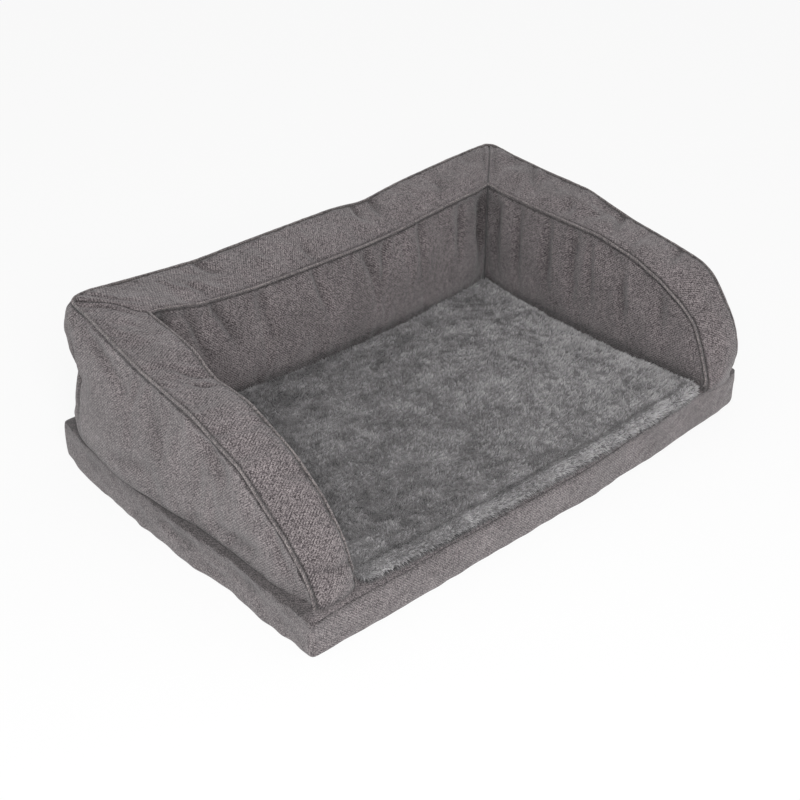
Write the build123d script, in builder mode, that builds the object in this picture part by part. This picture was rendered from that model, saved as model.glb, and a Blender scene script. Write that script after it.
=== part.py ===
from build123d import *
import os
from math import atan2, cos, sin

os.makedirs("parts", exist_ok=True)

# Lengths are in millimetres. X runs from the left arm to the right arm, Y from the open front to
# the back, Z up from the floor.

# The base: a low stuffed box, straight at the back and bowed out at its front and sides.
bed_width = 900
bed_depth = 615
base_height = 62
side_bow = 19
front_bow = 11
base_corner_radius = 16
base_floor_draw = 4
base_deck_draw = 3

# Cloth and foam
fabric_wall = 2
clearance = 0.3
filling_ease = 0.6
support_foam_height = 40

# The U of three bolsters that stands on the base
corner_height = 286
gusset_width = 79
gusset_crown = 7
side_seam_set = 19
back_seam_set = 35
front_foot_set = 8.5
inner_seam_drop = 20
arm_toe = 14
back_outer_sag = 19
back_inner_sag = 27
outer_swell = 27
arm_inner_swell = 16
back_inner_swell = 30
foot_lift = 8
corner_gap = 1
welt_radius = 3.2

# Side views of the arms' two seams, from the back corner to the front foot. Each point is a share
# of the arm's run and a share of the corner's rise above the base: back end, crest, shoulder, brow
# and foot. The left arm slumps sooner than the right one.
left_outer_shares = ((0, 1), (0.475, 0.777), (0.825, 0.473), (0.974, 0.156), (1, 0))
left_inner_shares = ((0, 0.953), (0.475, 0.808), (0.808, 0.602), (0.956, 0.282), (1, 0))
right_outer_shares = ((0, 1), (0.441, 0.963), (0.825, 0.813), (1.006, 0.303), (1, 0))
right_inner_shares = ((0, 0.929), (0.475, 0.866), (0.79, 0.746), (0.983, 0.303), (1, 0))

# How a panel swells out of its seam: how far out, how large its outline still is, and how far its
# lower edge has lifted, each as a share.
swell_shares = ((0, 1, 0), (0.33, 0.85, 0.6), (0.72, 0.6, 1), (0.96, 0.3, 1))

# The loose sleeping pad
pad_height = 20
pad_gap = 2.5
pad_ease = 4
pad_front_set = 3
pad_front_corner_radius = 20
pad_back_corner_radius = 9
pad_pile = 8
pad_underside_wall = 1.5
# Heights in the pad as shares of it, each with its inset from the pad's widest outline as a share
# of the pad's height.
pad_roll_shares = ((0, 0.25), (0.35, 0), (0.75, 0.15), (1, 0.8))

# The zip in the back of the base, through which the foam comes out
zip_length = 740
zip_height = 33
zip_window = 26
zip_tape_wall = 1
zip_chain_width = 5
zip_chain_wall = 1.8
zip_stop_length = 4
slider_length = 13
slider_width = 9
slider_wall = 1.2
bail_width = 2.6
bail_opening = 5
pull_rod_radius = 0.8
pull_arm_width = 1.6
pull_length = 30
pull_width = 8
pull_wall = 1.4

# Long enough to run a cut clear of any piece
overrun = 20

# Places that follow from the sizes above. The origin is midway along the floor, so that the zip's
# bail at the back stands out as far as the bowed front does.
chain_stand = zip_tape_wall + zip_chain_wall - fabric_wall
plate_stand = chain_stand + clearance + slider_wall
rod_stand = plate_stand + clearance + pull_rod_radius
bail_stand = rod_stand + pull_rod_radius + clearance + slider_wall
half_depth = (bed_depth + front_bow + bail_stand) / 2
front_y = front_bow - half_depth
back_y = half_depth - bail_stand
half_width = bed_width / 2

outer_seam_x = half_width - side_seam_set
outer_seam_y = back_y - back_seam_set
inner_seam_x = outer_seam_x - gusset_width
inner_seam_y = outer_seam_y - gusset_width
foot_y = front_y + front_foot_set
arm_run = outer_seam_y - foot_y
corner_rise = corner_height - base_height
toe_angle = atan2(arm_toe, inner_seam_y - foot_y)


def save(block, name):
    """Label a finished piece and write it to its own file."""
    block.part.label = name
    export_step(block.part, f"parts/{name}.step")


def base_outline(height, inset):
    """Plan of the base at one height: three bowed sides, a straight back and rounded corners."""
    x = half_width - inset
    front = front_y + inset
    back = back_y - inset
    middle = (front + back) / 2
    with BuildSketch(Plane.XY.offset(height)) as plan:
        with BuildLine():
            ThreePointArc((-x, front), (0, front - front_bow), (x, front))
            ThreePointArc((x, front), (x + side_bow, middle), (x, back))
            Line((x, back), (-x, back))
            ThreePointArc((-x, back), (-x - side_bow, middle), (-x, front))
        make_face()
        fillet(plan.vertices(), base_corner_radius)
    return plan.sketch


def base_slice(inset, low, high):
    """The stuffed base between two heights, full at mid height and drawn in at floor and deck."""
    with BuildPart() as slice_part:
        loft([
            base_outline(0, base_floor_draw + inset),
            base_outline(zip_height, inset),
            base_outline(base_height, base_deck_draw + inset),
        ])
        if low > 0:
            split(bisect_by=Plane.XY.offset(low), keep=Keep.TOP)
        if high < base_height:
            split(bisect_by=Plane.XY.offset(high), keep=Keep.BOTTOM)
    return slice_part.part


def base_corner_plane(side, end_y):
    """Upright plane through a corner of the base, on the diagonal, facing along the base's side."""
    turn = 1 if end_y > 0 else -1
    return Plane(origin=(side * half_width, end_y, 0), z_dir=(-side, turn, 0))


def arm_plane(side, across, toe_share):
    """Upright plane through an arm, turned out towards the foot by its share of the toe."""
    turn = toe_share * toe_angle
    return Plane(
        origin=(side * across, inner_seam_y, 0),
        x_dir=(-side * sin(turn), cos(turn), 0),
        z_dir=(cos(turn), side * sin(turn), 0),
    )


def arm_seam(shares, back_end, size, lift):
    """The seam in side view: a straight top, then three arcs that ease down to the foot."""
    centre = (back_end + foot_y) / 2

    def place(run_share, rise_share):
        along = centre + size * (outer_seam_y - run_share * arm_run - centre)
        return (along - inner_seam_y, base_height + lift + size * rise_share * corner_rise)

    (back_run, back_rise), (crest_run, crest_rise) = shares[:2]
    slope = (crest_rise - back_rise) / (crest_run - back_run)
    end_run = (outer_seam_y - back_end) / arm_run
    with BuildLine() as seam:
        top = Line(place(end_run, back_rise + slope * (end_run - back_run)), place(*shares[1]))
        fall = TangentArc(place(*shares[1]), place(*shares[2]), tangent=top % 1)
        brow = TangentArc(place(*shares[2]), place(*shares[3]), tangent=fall % 1)
        TangentArc(place(*shares[3]), place(*shares[4]), tangent=brow % 1)
    return seam.line


def arm_outline(plane, shares, back_end, inset, size=1, lift=0):
    """The whole side view of an arm on one plane, closed along its foot and its back end."""
    seam = arm_seam(shares, back_end, size, lift)
    foot = seam @ 1
    back_top = seam @ 0
    with BuildSketch(plane) as view:
        with BuildLine():
            add(seam)
            Polyline(foot, (back_top.X, foot.Y), back_top)
        make_face()
        if inset > 0:
            offset(amount=-inset, kind=Kind.INTERSECTION)
    return view.sketch


def arm_form(side, outer_shares, inner_shares, inset):
    """A stuffed arm: the crowned gusset band between its seams, and a swelling panel each side."""
    outer_x = outer_seam_x - inset
    inner_x = inner_seam_x + inset
    past_corner = outer_seam_y + overrun
    middle_shares = [
        ((outer[0] + inner[0]) / 2, (outer[1] + inner[1]) / 2)
        for outer, inner in zip(outer_shares, inner_shares)
    ]
    crowned = 1 + gusset_crown / corner_rise
    middle_x = (outer_x + inner_x) / 2
    with BuildPart() as form:
        loft([
            arm_outline(arm_plane(side, outer_x, 0), outer_shares, past_corner, inset),
            arm_outline(arm_plane(side, middle_x, 0.5), middle_shares, past_corner, inset, crowned),
            arm_outline(arm_plane(side, inner_x, 1), inner_shares, past_corner, inset),
        ])
        loft([
            arm_outline(
                arm_plane(side, outer_x + out * outer_swell, 0), outer_shares,
                outer_seam_y - corner_gap, inset, size, lift * foot_lift,
            )
            for out, size, lift in swell_shares
        ])
        loft([
            arm_outline(
                arm_plane(side, inner_x - out * arm_inner_swell, 1), inner_shares,
                inner_seam_y - corner_gap, inset, size, lift * foot_lift,
            )
            for out, size, lift in swell_shares
        ])
        split(bisect_by=mitre_plane(side), keep=Keep.BOTTOM)
    return form.part


def mitre_plane(side):
    """Upright diagonal plane where an arm meets the back bolster, facing the back bolster."""
    return Plane(origin=(side * outer_seam_x, outer_seam_y, 0), z_dir=(-side, 1, 0))


def back_top(half, seam_half, seam_end, sag):
    """End height and sag of a top edge on the same circle as the seam's, but with its own half width."""
    radius = (seam_half**2 + sag**2) / (2 * sag)
    own_sag = radius - (radius**2 - half**2) ** 0.5
    return seam_end - sag + own_sag, own_sag


def back_outline(y, half, rise, sag, inset, size=1, lift=0):
    """Front view of the back bolster on one plane: flat foot, square ends and a sagging top."""
    x = size * half
    low = base_height + lift
    with BuildSketch(Plane.XZ.offset(-y)) as view:
        with BuildLine():
            ThreePointArc((-x, low + size * rise), (0, low + size * (rise - sag)), (x, low + size * rise))
            Polyline((x, low + size * rise), (x, low), (-x, low), (-x, low + size * rise))
        make_face()
        if inset > 0:
            offset(amount=-inset, kind=Kind.INTERSECTION)
    return view.sketch


def back_form(inset):
    """The stuffed back bolster, made like an arm but cut at both ends to the mitres."""
    outer_y = outer_seam_y - inset
    inner_y = inner_seam_y + inset
    inner_rise = corner_rise - inner_seam_drop
    half = outer_seam_x + overrun
    outer_end, outer_sag = back_top(half, outer_seam_x, corner_rise, back_outer_sag)
    inner_end, inner_sag = back_top(half, inner_seam_x, inner_rise, back_inner_sag)
    middle_end = (outer_end + inner_end) / 2
    middle_sag = (outer_sag + inner_sag) / 2
    crowned = 1 + gusset_crown / corner_rise
    outer_half = outer_seam_x - corner_gap
    inner_half = inner_seam_x - corner_gap
    outer_top = back_top(outer_half, outer_seam_x, corner_rise, back_outer_sag)
    inner_top = back_top(inner_half, inner_seam_x, inner_rise, back_inner_sag)
    with BuildPart() as form:
        loft([
            back_outline(outer_y, half, outer_end, outer_sag, inset),
            back_outline((outer_y + inner_y) / 2, half, middle_end, middle_sag, inset, crowned),
            back_outline(inner_y, half, inner_end, inner_sag, inset),
        ])
        loft([
            back_outline(
                outer_y + out * outer_swell, outer_half, *outer_top, inset, size, lift * foot_lift
            )
            for out, size, lift in swell_shares
        ])
        loft([
            back_outline(
                inner_y - out * back_inner_swell, inner_half, *inner_top, inset, size, lift * foot_lift
            )
            for out, size, lift in swell_shares
        ])
        for side in (-1, 1):
            split(bisect_by=mitre_plane(side), keep=Keep.TOP)
    return form.part


def arm_welt(side, across, toe_share, shares):
    """Welt along one seam of an arm, from the mitre down the front to the deck."""
    seam = arm_seam(shares, outer_seam_y + overrun, 1, 0)
    with BuildLine() as side_view:
        add(seam)
        Line(seam @ 1, seam @ 1 + (seam % 1) * overrun)
    path = arm_plane(side, across, toe_share).from_local_coords(side_view.wire())
    with BuildPart() as welt:
        with BuildSketch(Plane(origin=path @ 0, z_dir=path % 0)):
            Circle(welt_radius)
        sweep(path=path)
        split(bisect_by=mitre_plane(side), keep=Keep.BOTTOM)
        split(bisect_by=Plane.XY.offset(base_height), keep=Keep.TOP)
    return welt.part


def back_welt(y, half, end_height, sag):
    """Welt along one seam of the back bolster, between the two mitres."""
    reach = half + overrun
    reach_height = back_top(reach, half, end_height, sag)[0]
    with BuildPart() as welt:
        with BuildLine() as path:
            ThreePointArc(
                (-reach, y, reach_height), (0, y, end_height - sag), (reach, y, reach_height)
            )
        with BuildSketch(Plane(origin=path.line @ 0, z_dir=path.line % 0)):
            Circle(welt_radius)
        sweep()
        for side in (-1, 1):
            split(bisect_by=mitre_plane(side), keep=Keep.TOP)
    return welt.part


# Base

base_core = base_slice(fabric_wall, fabric_wall, base_height - fabric_wall)

with BuildPart() as base_bottom_panel:
    add(base_slice(0, 0, fabric_wall))
save(base_bottom_panel, "base_bottom_panel")

with BuildPart() as deck_panel:
    add(base_slice(0, base_height - fabric_wall, base_height))
save(deck_panel, "deck_panel")

with BuildPart() as base_ring:
    add(base_slice(0, fabric_wall, base_height - fabric_wall))
    add(base_core, mode=Mode.SUBTRACT)

with BuildPart() as base_front_band:
    add(base_ring.part)
    for side in (-1, 1):
        split(bisect_by=base_corner_plane(side, front_y), keep=Keep.TOP)
save(base_front_band, "base_front_band")

for side, name in ((-1, "left"), (1, "right")):
    with BuildPart() as base_side_band:
        add(base_ring.part)
        for end_y in (front_y, back_y):
            split(bisect_by=base_corner_plane(side, end_y), keep=Keep.BOTTOM)
    save(base_side_band, f"base_{name}_band")

with BuildPart() as base_back_band:
    add(base_ring.part)
    for side in (-1, 1):
        split(bisect_by=base_corner_plane(side, back_y), keep=Keep.TOP)
    with BuildSketch(Plane.XZ.offset(-back_y - overrun)):
        with Locations((0, zip_height)):
            Rectangle(zip_length, zip_window)
    extrude(amount=base_corner_radius + overrun, mode=Mode.SUBTRACT)
save(base_back_band, "base_back_band")

with BuildPart() as support_foam:
    add(base_slice(fabric_wall + clearance, fabric_wall, support_foam_height))
save(support_foam, "support_foam")

with BuildPart() as memory_foam:
    add(base_slice(fabric_wall + clearance, support_foam_height, base_height - fabric_wall))
save(memory_foam, "memory_foam")


# The three bolsters, each a cover of three cloth pieces round its own filling, with a welt along
# each of its two seams

def bolster_pieces(name, form, outer_plane, inner_plane, outer_seam_welt, inner_seam_welt):
    """Cut a bolster's cover at its seam planes, which both face outwards, and save its pieces."""
    with BuildPart() as outer_welt:
        add(outer_seam_welt)
    save(outer_welt, f"{name}_outer_welt")
    with BuildPart() as inner_welt:
        add(inner_seam_welt)
    save(inner_welt, f"{name}_inner_welt")
    with BuildPart() as cover:
        add(form(0))
        add(form(fabric_wall), mode=Mode.SUBTRACT)
        add(outer_seam_welt, mode=Mode.SUBTRACT)
        add(inner_seam_welt, mode=Mode.SUBTRACT)
    with BuildPart() as outer_panel:
        add(cover.part)
        split(bisect_by=outer_plane, keep=Keep.TOP)
    save(outer_panel, f"{name}_outer_panel")
    with BuildPart() as gusset:
        add(cover.part)
        split(bisect_by=outer_plane, keep=Keep.BOTTOM)
        split(bisect_by=inner_plane, keep=Keep.TOP)
    save(gusset, f"{name}_gusset")
    with BuildPart() as inner_panel:
        add(cover.part)
        split(bisect_by=inner_plane, keep=Keep.BOTTOM)
    save(inner_panel, f"{name}_inner_panel")
    with BuildPart() as filling:
        add(form(fabric_wall + filling_ease))
    save(filling, f"{name}_filling")


def facing_out(plane, side):
    """The same plane, facing away from the middle of the bed."""
    return Plane(origin=plane.origin, z_dir=plane.z_dir * side)


for side, name, outer_shares, inner_shares in (
    (-1, "left", left_outer_shares, left_inner_shares),
    (1, "right", right_outer_shares, right_inner_shares),
):
    bolster_pieces(
        name,
        lambda inset: arm_form(side, outer_shares, inner_shares, inset),
        facing_out(arm_plane(side, outer_seam_x, 0), side),
        facing_out(arm_plane(side, inner_seam_x, 1), side),
        arm_welt(side, outer_seam_x, 0, outer_shares),
        arm_welt(side, inner_seam_x, 1, inner_shares),
    )

bolster_pieces(
    "back",
    back_form,
    Plane(origin=(0, outer_seam_y, 0), z_dir=(0, 1, 0)),
    Plane(origin=(0, inner_seam_y, 0), z_dir=(0, 1, 0)),
    back_welt(outer_seam_y, outer_seam_x, corner_height, back_outer_sag),
    back_welt(inner_seam_y, inner_seam_x, corner_height - inner_seam_drop, back_inner_sag),
)


# The sleeping pad, which lies loose on the deck between the bolsters

pad_low = base_height + clearance
pad_top = pad_low + pad_height


def pad_outline(height, inset):
    """Plan of the pad: its sides and back give way to the swelling bolsters, its front bows out."""
    back_x = inner_seam_x - pad_gap - inset
    front_x = inner_seam_x + arm_toe - welt_radius - pad_gap - inset
    back = inner_seam_y - pad_gap - inset
    front = front_y + pad_front_set + inset
    side_x = (back_x + front_x) / 2 - arm_inner_swell - pad_ease
    back_middle = back - back_inner_swell - pad_ease
    with BuildSketch(Plane.XY.offset(height)) as plan:
        with BuildLine():
            ThreePointArc((-front_x, front), (0, front - front_bow), (front_x, front))
            ThreePointArc((front_x, front), (side_x, (front + back) / 2), (back_x, back))
            ThreePointArc((back_x, back), (0, back_middle), (-back_x, back))
            ThreePointArc((-back_x, back), (-side_x, (front + back) / 2), (-front_x, front))
        make_face()
        front_corners = plan.vertices().group_by(Axis.Y)[0]
        back_corners = plan.vertices().group_by(Axis.Y)[-1]
        fillet(front_corners, pad_front_corner_radius)
        fillet(back_corners, pad_back_corner_radius)
    return plan.sketch


def pad_slice(inset, low, high):
    """The pad between two heights, rolled in at its edge and crowned towards the middle."""
    with BuildPart() as slice_part:
        loft([
            pad_outline(low + share * (high - low), inset + roll * pad_height)
            for share, roll in pad_roll_shares
        ])
    return slice_part.part


pad_core_low = pad_low + pad_underside_wall
pad_core_high = pad_top - pad_pile

with BuildPart() as pad_underside:
    add(pad_slice(0, pad_low, pad_top))
    split(bisect_by=Plane.XY.offset(pad_core_low), keep=Keep.BOTTOM)
save(pad_underside, "pad_underside")

with BuildPart() as pad_filling:
    add(pad_slice(pad_pile, pad_core_low, pad_core_high))
save(pad_filling, "pad_filling")

with BuildPart() as pad_plush:
    add(pad_slice(0, pad_low, pad_top))
    split(bisect_by=Plane.XY.offset(pad_core_low), keep=Keep.TOP)
    add(pad_filling.part, mode=Mode.SUBTRACT)
save(pad_plush, "pad_plush")


# The zip: two tapes and a closed chain behind the band's window, stops, slider and pull

tape_y = back_y - fabric_wall
chain_y = tape_y + zip_tape_wall
chain_top_y = back_y + chain_stand
plate_y = back_y + plate_stand
rod_y = back_y + rod_stand
chain_length = zip_length - 2 * zip_stop_length
slider_x = chain_length / 2 - clearance - slider_length / 2

with BuildPart() as zip_tapes:
    with BuildSketch(Plane.XZ.offset(-tape_y)):
        tape_width = (zip_window - clearance) / 2
        with Locations((0, zip_height)), GridLocations(0, tape_width + clearance, 1, 2):
            Rectangle(zip_length, tape_width)
    extrude(amount=-zip_tape_wall)
save(zip_tapes, "zip_tapes")

with BuildPart() as zip_chain:
    with BuildSketch(Plane.YZ.offset(-chain_length / 2)):
        with BuildLine():
            half_chain = zip_chain_width / 2
            low = (chain_y, zip_height - half_chain)
            middle = (chain_top_y - zip_chain_wall / 3, zip_height)
            high = (chain_y, zip_height + half_chain)
            ThreePointArc(low, (chain_top_y, zip_height - half_chain / 2), middle)
            ThreePointArc(middle, (chain_top_y, zip_height + half_chain / 2), high)
            Line(high, low)
        make_face()
    extrude(amount=chain_length)
save(zip_chain, "zip_chain")

with BuildPart() as zip_stops:
    with BuildSketch(Plane.XZ.offset(-chain_y)):
        with Locations((0, zip_height)), GridLocations(chain_length + zip_stop_length, 0, 2, 1):
            Rectangle(zip_stop_length, zip_chain_width)
    extrude(amount=-zip_chain_wall)
    fillet(zip_stops.faces().group_by(Axis.Y)[-1].edges(), zip_chain_wall / 4)
save(zip_stops, "zip_stops")

with BuildPart() as zip_slider:
    with BuildSketch(Plane.XZ.offset(-chain_y - clearance)) as slider_plan:
        with BuildLine():
            nose = slider_x + slider_length / 2
            tail = slider_x - slider_length / 2
            wide = slider_width / 2
            narrow = wide - slider_wall / 2
            Polyline(
                (tail, zip_height - narrow), (nose, zip_height - wide),
                (nose, zip_height + wide), (tail, zip_height + narrow), close=True,
            )
        make_face()
        fillet(slider_plan.vertices(), slider_wall)
    extrude(amount=-(plate_y - chain_y - clearance))
    with BuildSketch(Plane.XZ.offset(-chain_y)):
        with Locations((slider_x, zip_height)):
            Rectangle(slider_length + overrun, zip_chain_width + 2 * clearance)
    extrude(amount=-(chain_top_y + clearance - chain_y), mode=Mode.SUBTRACT)
    with BuildSketch(Plane.XY.offset(zip_height - bail_width / 2)) as bail:
        with Locations((slider_x, (plate_y + back_y + bail_stand) / 2)):
            Rectangle(bail_opening + 2 * slider_wall, bail_stand - plate_stand)
        fillet(bail.vertices().group_by(Axis.Y)[-1], slider_wall)
        with Locations((slider_x, plate_y + (bail_stand - plate_stand - slider_wall) / 2)):
            Rectangle(bail_opening, bail_stand - plate_stand - slider_wall, mode=Mode.SUBTRACT)
    extrude(amount=bail_width)
save(zip_slider, "zip_slider")

# The pull's eye goes round the bail, and its rod lies in the bail's opening.
bail_half = bail_opening / 2 + slider_wall
eye_reach = (bail_half**2 + (bail_stand - rod_stand)**2)**0.5 + clearance
eye_half = bail_width / 2 + clearance
with BuildPart() as zip_pull:
    with BuildSketch(Plane.XZ.offset(-rod_y - pull_wall / 2)) as tab:
        with Locations((slider_x - pull_length / 2, zip_height)):
            Rectangle(pull_length, pull_width)
        fillet(tab.vertices().group_by(Axis.X)[0], pull_width / 3)
        with Locations((slider_x, zip_height)):
            Rectangle(2 * eye_reach, 2 * eye_half, mode=Mode.SUBTRACT)
    extrude(amount=pull_wall)
    with BuildSketch(Plane.XY.offset(zip_height - pull_width / 2)):
        with Locations((slider_x, rod_y)):
            Circle(pull_rod_radius)
    extrude(amount=pull_width)
save(zip_pull, "zip_pull")
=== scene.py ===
# %% [markdown]
# The looks of a sofa-style dog bed: a low stuffed base, a U of three welted bolsters round it and a
# loose plush pad. The imported model is the frame. Each soft piece is made anew where its solid
# lies.

# %% Load the frame
from math import cos, pi, radians, sin

import bpy
import numpy as np
from mathutils import Matrix, Vector


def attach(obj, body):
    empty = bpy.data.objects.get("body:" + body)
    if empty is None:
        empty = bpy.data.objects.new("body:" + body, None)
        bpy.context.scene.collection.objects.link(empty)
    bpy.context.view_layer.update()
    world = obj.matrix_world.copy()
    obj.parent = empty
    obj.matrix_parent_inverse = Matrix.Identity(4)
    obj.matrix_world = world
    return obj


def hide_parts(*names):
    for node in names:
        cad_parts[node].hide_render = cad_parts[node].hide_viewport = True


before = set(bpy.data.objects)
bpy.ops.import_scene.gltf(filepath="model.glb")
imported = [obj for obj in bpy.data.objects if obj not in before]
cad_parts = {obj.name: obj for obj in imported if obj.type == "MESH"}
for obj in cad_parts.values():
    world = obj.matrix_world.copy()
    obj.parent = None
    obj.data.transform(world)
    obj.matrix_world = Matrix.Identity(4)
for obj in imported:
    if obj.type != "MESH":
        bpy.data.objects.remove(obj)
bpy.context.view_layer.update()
MM = 0.001

# %% [markdown]
# The camera stands at the front left corner, about 1.8 metres from the bed's middle, and looks down
# on it by a third of a right angle. Its place and turn were solved from the bed's straight edges,
# so it is given as a place, a heading, a pitch and a slight roll.

# %% Camera
CAMERA_PLACE = (-1.24082, -1.3644, 1.26893)
CAMERA_HEADING, CAMERA_PITCH, CAMERA_ROLL = radians(41.68), radians(33.37), radians(0.4)
CAMERA_LENS_MM = 61.70


def camera_turn(heading, pitch, roll):
    """Columns are the camera's right, up and back: level right and up, turned by the roll."""
    ahead = Vector((sin(heading) * cos(pitch), cos(heading) * cos(pitch), -sin(pitch)))
    level = Vector((cos(heading), -sin(heading), 0))
    up = level.cross(ahead)
    right = level * cos(roll) + up * sin(roll)
    return Matrix((right, up * cos(roll) - level * sin(roll), -ahead)).transposed()


camera = bpy.data.objects.new("camera", bpy.data.cameras.new("camera"))
camera.data.lens = CAMERA_LENS_MM
camera.data.clip_end = 50
camera.matrix_world = Matrix.Translation(CAMERA_PLACE) @ camera_turn(
    CAMERA_HEADING, CAMERA_PITCH, CAMERA_ROLL
).to_4x4()
bpy.context.collection.objects.link(camera)
bpy.context.scene.camera = camera
bpy.context.scene.view_settings.view_transform = "Standard"
print("camera lens", CAMERA_LENS_MM)

# %% [markdown]
# Colours are written as sRGB hex values, as a colour picker shows them, and one function turns them
# to the linear numbers that shaders count in. Another adds a node, sets it up and links what feeds
# it in one line.

# %% Helpers for finishes
WHITE = (1, 1, 1, 1)


def colour(code):
    """Linear RGBA of an sRGB hex code: the power 2.4 curve, straight near black."""
    parts = np.array([int(code[i:i + 2], 16) for i in (1, 3, 5)]) / 255
    flat = np.where(parts <= 0.04045, parts / 12.92, ((parts + 0.055) / 1.055) ** 2.4)
    return (*flat.tolist(), 1)


def add_node(finish, kind, inputs=(), out=0, **settings):
    """Add a node and give one of its outputs. Inputs are constants or other nodes' outputs, by name
    or in order, and settings are the node's own options."""
    node = finish.node_tree.nodes.new(f"ShaderNode{kind}")
    for key, value in settings.items():
        setattr(node, key, value)
    for key, value in inputs.items() if isinstance(inputs, dict) else enumerate(inputs):
        if isinstance(value, bpy.types.NodeSocket):
            finish.node_tree.links.new(value, node.inputs[key])
        else:
            node.inputs[key].default_value = value
    return node.outputs[out] if node.outputs else node


def new_finish(name, home=bpy.data.materials):
    """A material or a world without any nodes."""
    finish = home.new(name)
    finish.use_nodes = True
    finish.node_tree.nodes.clear()
    return finish


def with_skin(finish, inputs):
    """The finish, with a principled surface of these inputs."""
    add_node(finish, "OutputMaterial", (add_node(finish, "BsdfPrincipled", inputs),))
    return finish


def set_stops(ramp, low, high, middle):
    """Give a colour ramp its three stops, each a place and a hex code."""
    stops = ramp.node.color_ramp.elements
    for stop, (place, code) in zip(stops, (low, high)):
        stop.position, stop.color = place, colour(code)
    stops.new(middle[0]).color = colour(middle[1])


# %% [markdown]
# The photograph is lit like a product picture: white all round, hardly a shadow, and only the well
# between the bolsters is darker. So the sky is an even soft white, and one large lamp from above
# the open front gives the forms a little direction. The floor is white paper, nearly blown out.

# %% Light and floor
SKY_STRENGTH = 0.56
LAMP_PLACE, LAMP_AIM, LAMP_SIZE, LAMP_POWER = (-1.45, -1.95, 1.8), (0, 0, 0.1), 1.4, 60
FLOOR_HALF, BLOWN_OUT = 12, 0.86

world = new_finish("white studio", bpy.data.worlds)
bpy.context.scene.world = world
seen = 0
for ray in ("Is Camera Ray", "Is Glossy Ray", "Is Transmission Ray"):
    seen = add_node(world, "Math", (seen, add_node(world, "LightPath", out=ray)), operation="MAXIMUM")
skies = [add_node(world, "Background", (WHITE, strength)) for strength in (SKY_STRENGTH, 1)]
add_node(world, "OutputWorld", (add_node(world, "MixShader", (seen, *skies)),))

lamp = bpy.data.objects.new("key lamp", bpy.data.lights.new("key lamp", "AREA"))
lamp.data.shape, lamp.data.size, lamp.data.energy = "DISK", LAMP_SIZE, LAMP_POWER
lamp.location = LAMP_PLACE
lamp.rotation_euler = (Vector(LAMP_AIM) - Vector(LAMP_PLACE)).to_track_quat("-Z", "Y").to_euler()
bpy.context.collection.objects.link(lamp)

paper = new_finish("white paper floor")
seen = add_node(paper, "LightPath", out="Is Camera Ray")
seen = add_node(paper, "Math", (seen, BLOWN_OUT), operation="MULTIPLY")
sheets = add_node(paper, "BsdfDiffuse", (colour("#f4f4f4"),)), add_node(paper, "Emission", (WHITE, 1))
add_node(paper, "OutputMaterial", (add_node(paper, "MixShader", (seen, *sheets)),))
floor_mesh = bpy.data.meshes.new("floor")
floor_mesh.from_pydata(
    [(x * FLOOR_HALF, y * FLOOR_HALF, 0) for x, y in ((-1, -1), (1, -1), (1, 1), (-1, 1))],
    [], [(0, 1, 2, 3)],
)
floor_mesh.materials.append(paper)
floor = bpy.data.objects.new("floor", floor_mesh)
bpy.context.collection.objects.link(floor)
print("light: sky", SKY_STRENGTH, "lamp", LAMP_POWER)

# %% [markdown]
# Every new surface is a grid: an array of rows and columns of points. These helpers turn grids into
# meshes, refine them, and find which way each point of a grid faces.

# %% Helpers for grids


def make_piece(name, points, faces, cut=None):
    """A mesh object from points and faces. cut gives each point's place on the flat cloth."""
    mesh = bpy.data.meshes.new(name)
    mesh.vertices.add(len(points))
    mesh.vertices.foreach_set("co", np.ascontiguousarray(points, np.float32).ravel())
    mesh.loops.add(faces.size)
    mesh.loops.foreach_set("vertex_index", faces.astype(np.int32).ravel())
    mesh.polygons.add(len(faces))
    mesh.polygons.foreach_set("loop_start", np.arange(len(faces), dtype=np.int32) * faces.shape[1])
    mesh.polygons.foreach_set("use_smooth", np.ones(len(faces), bool))
    if cut is not None:
        layer = mesh.uv_layers.new(name="cut")
        layer.data.foreach_set("uv", cut[faces.ravel()].astype(np.float32).ravel())
    mesh.update(calc_edges=True)
    mesh.validate()
    piece = bpy.data.objects.new(name, mesh)
    bpy.context.collection.objects.link(piece)
    return piece


def grid_faces(rows, columns, flipped=False):
    """Corners of a grid's triangles, two to each of its squares, counted row by row."""
    index = np.arange(rows * columns).reshape(rows, columns)
    a, b, c, d = index[:-1, :-1], index[1:, :-1], index[1:, 1:], index[:-1, 1:]
    faces = np.stack([a, b, c, a, c, d], axis=-1).reshape(-1, 3)
    return faces[:, ::-1] if flipped else faces


def unit(vectors):
    """Each vector divided by its own length."""
    return vectors / (np.linalg.norm(vectors, axis=-1, keepdims=True) + 1e-12)


def clamp(values):
    """The values, kept from 0 to 1."""
    return np.clip(values, 0, 1)


def bell(offs):
    """Bell curve: exp(-x squared)."""
    return np.exp(-(offs**2))


def facing(grid, outwards):
    """Unit normals of a grid: the cross product of its two gradients, turned to face outwards."""
    normal = unit(np.cross(np.gradient(grid, axis=0), np.gradient(grid, axis=1)))
    turned = np.dot(normal.reshape(-1, 3).mean(axis=0), outwards) < 0
    return (-normal if turned else normal), turned


def run_along(line):
    """How far each point lies along its line. In a grid, each column is a line."""
    steps = np.linalg.norm(np.diff(line, axis=0), axis=-1)
    return np.concatenate([np.zeros_like(steps[:1]), np.cumsum(steps, axis=0)])


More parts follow.
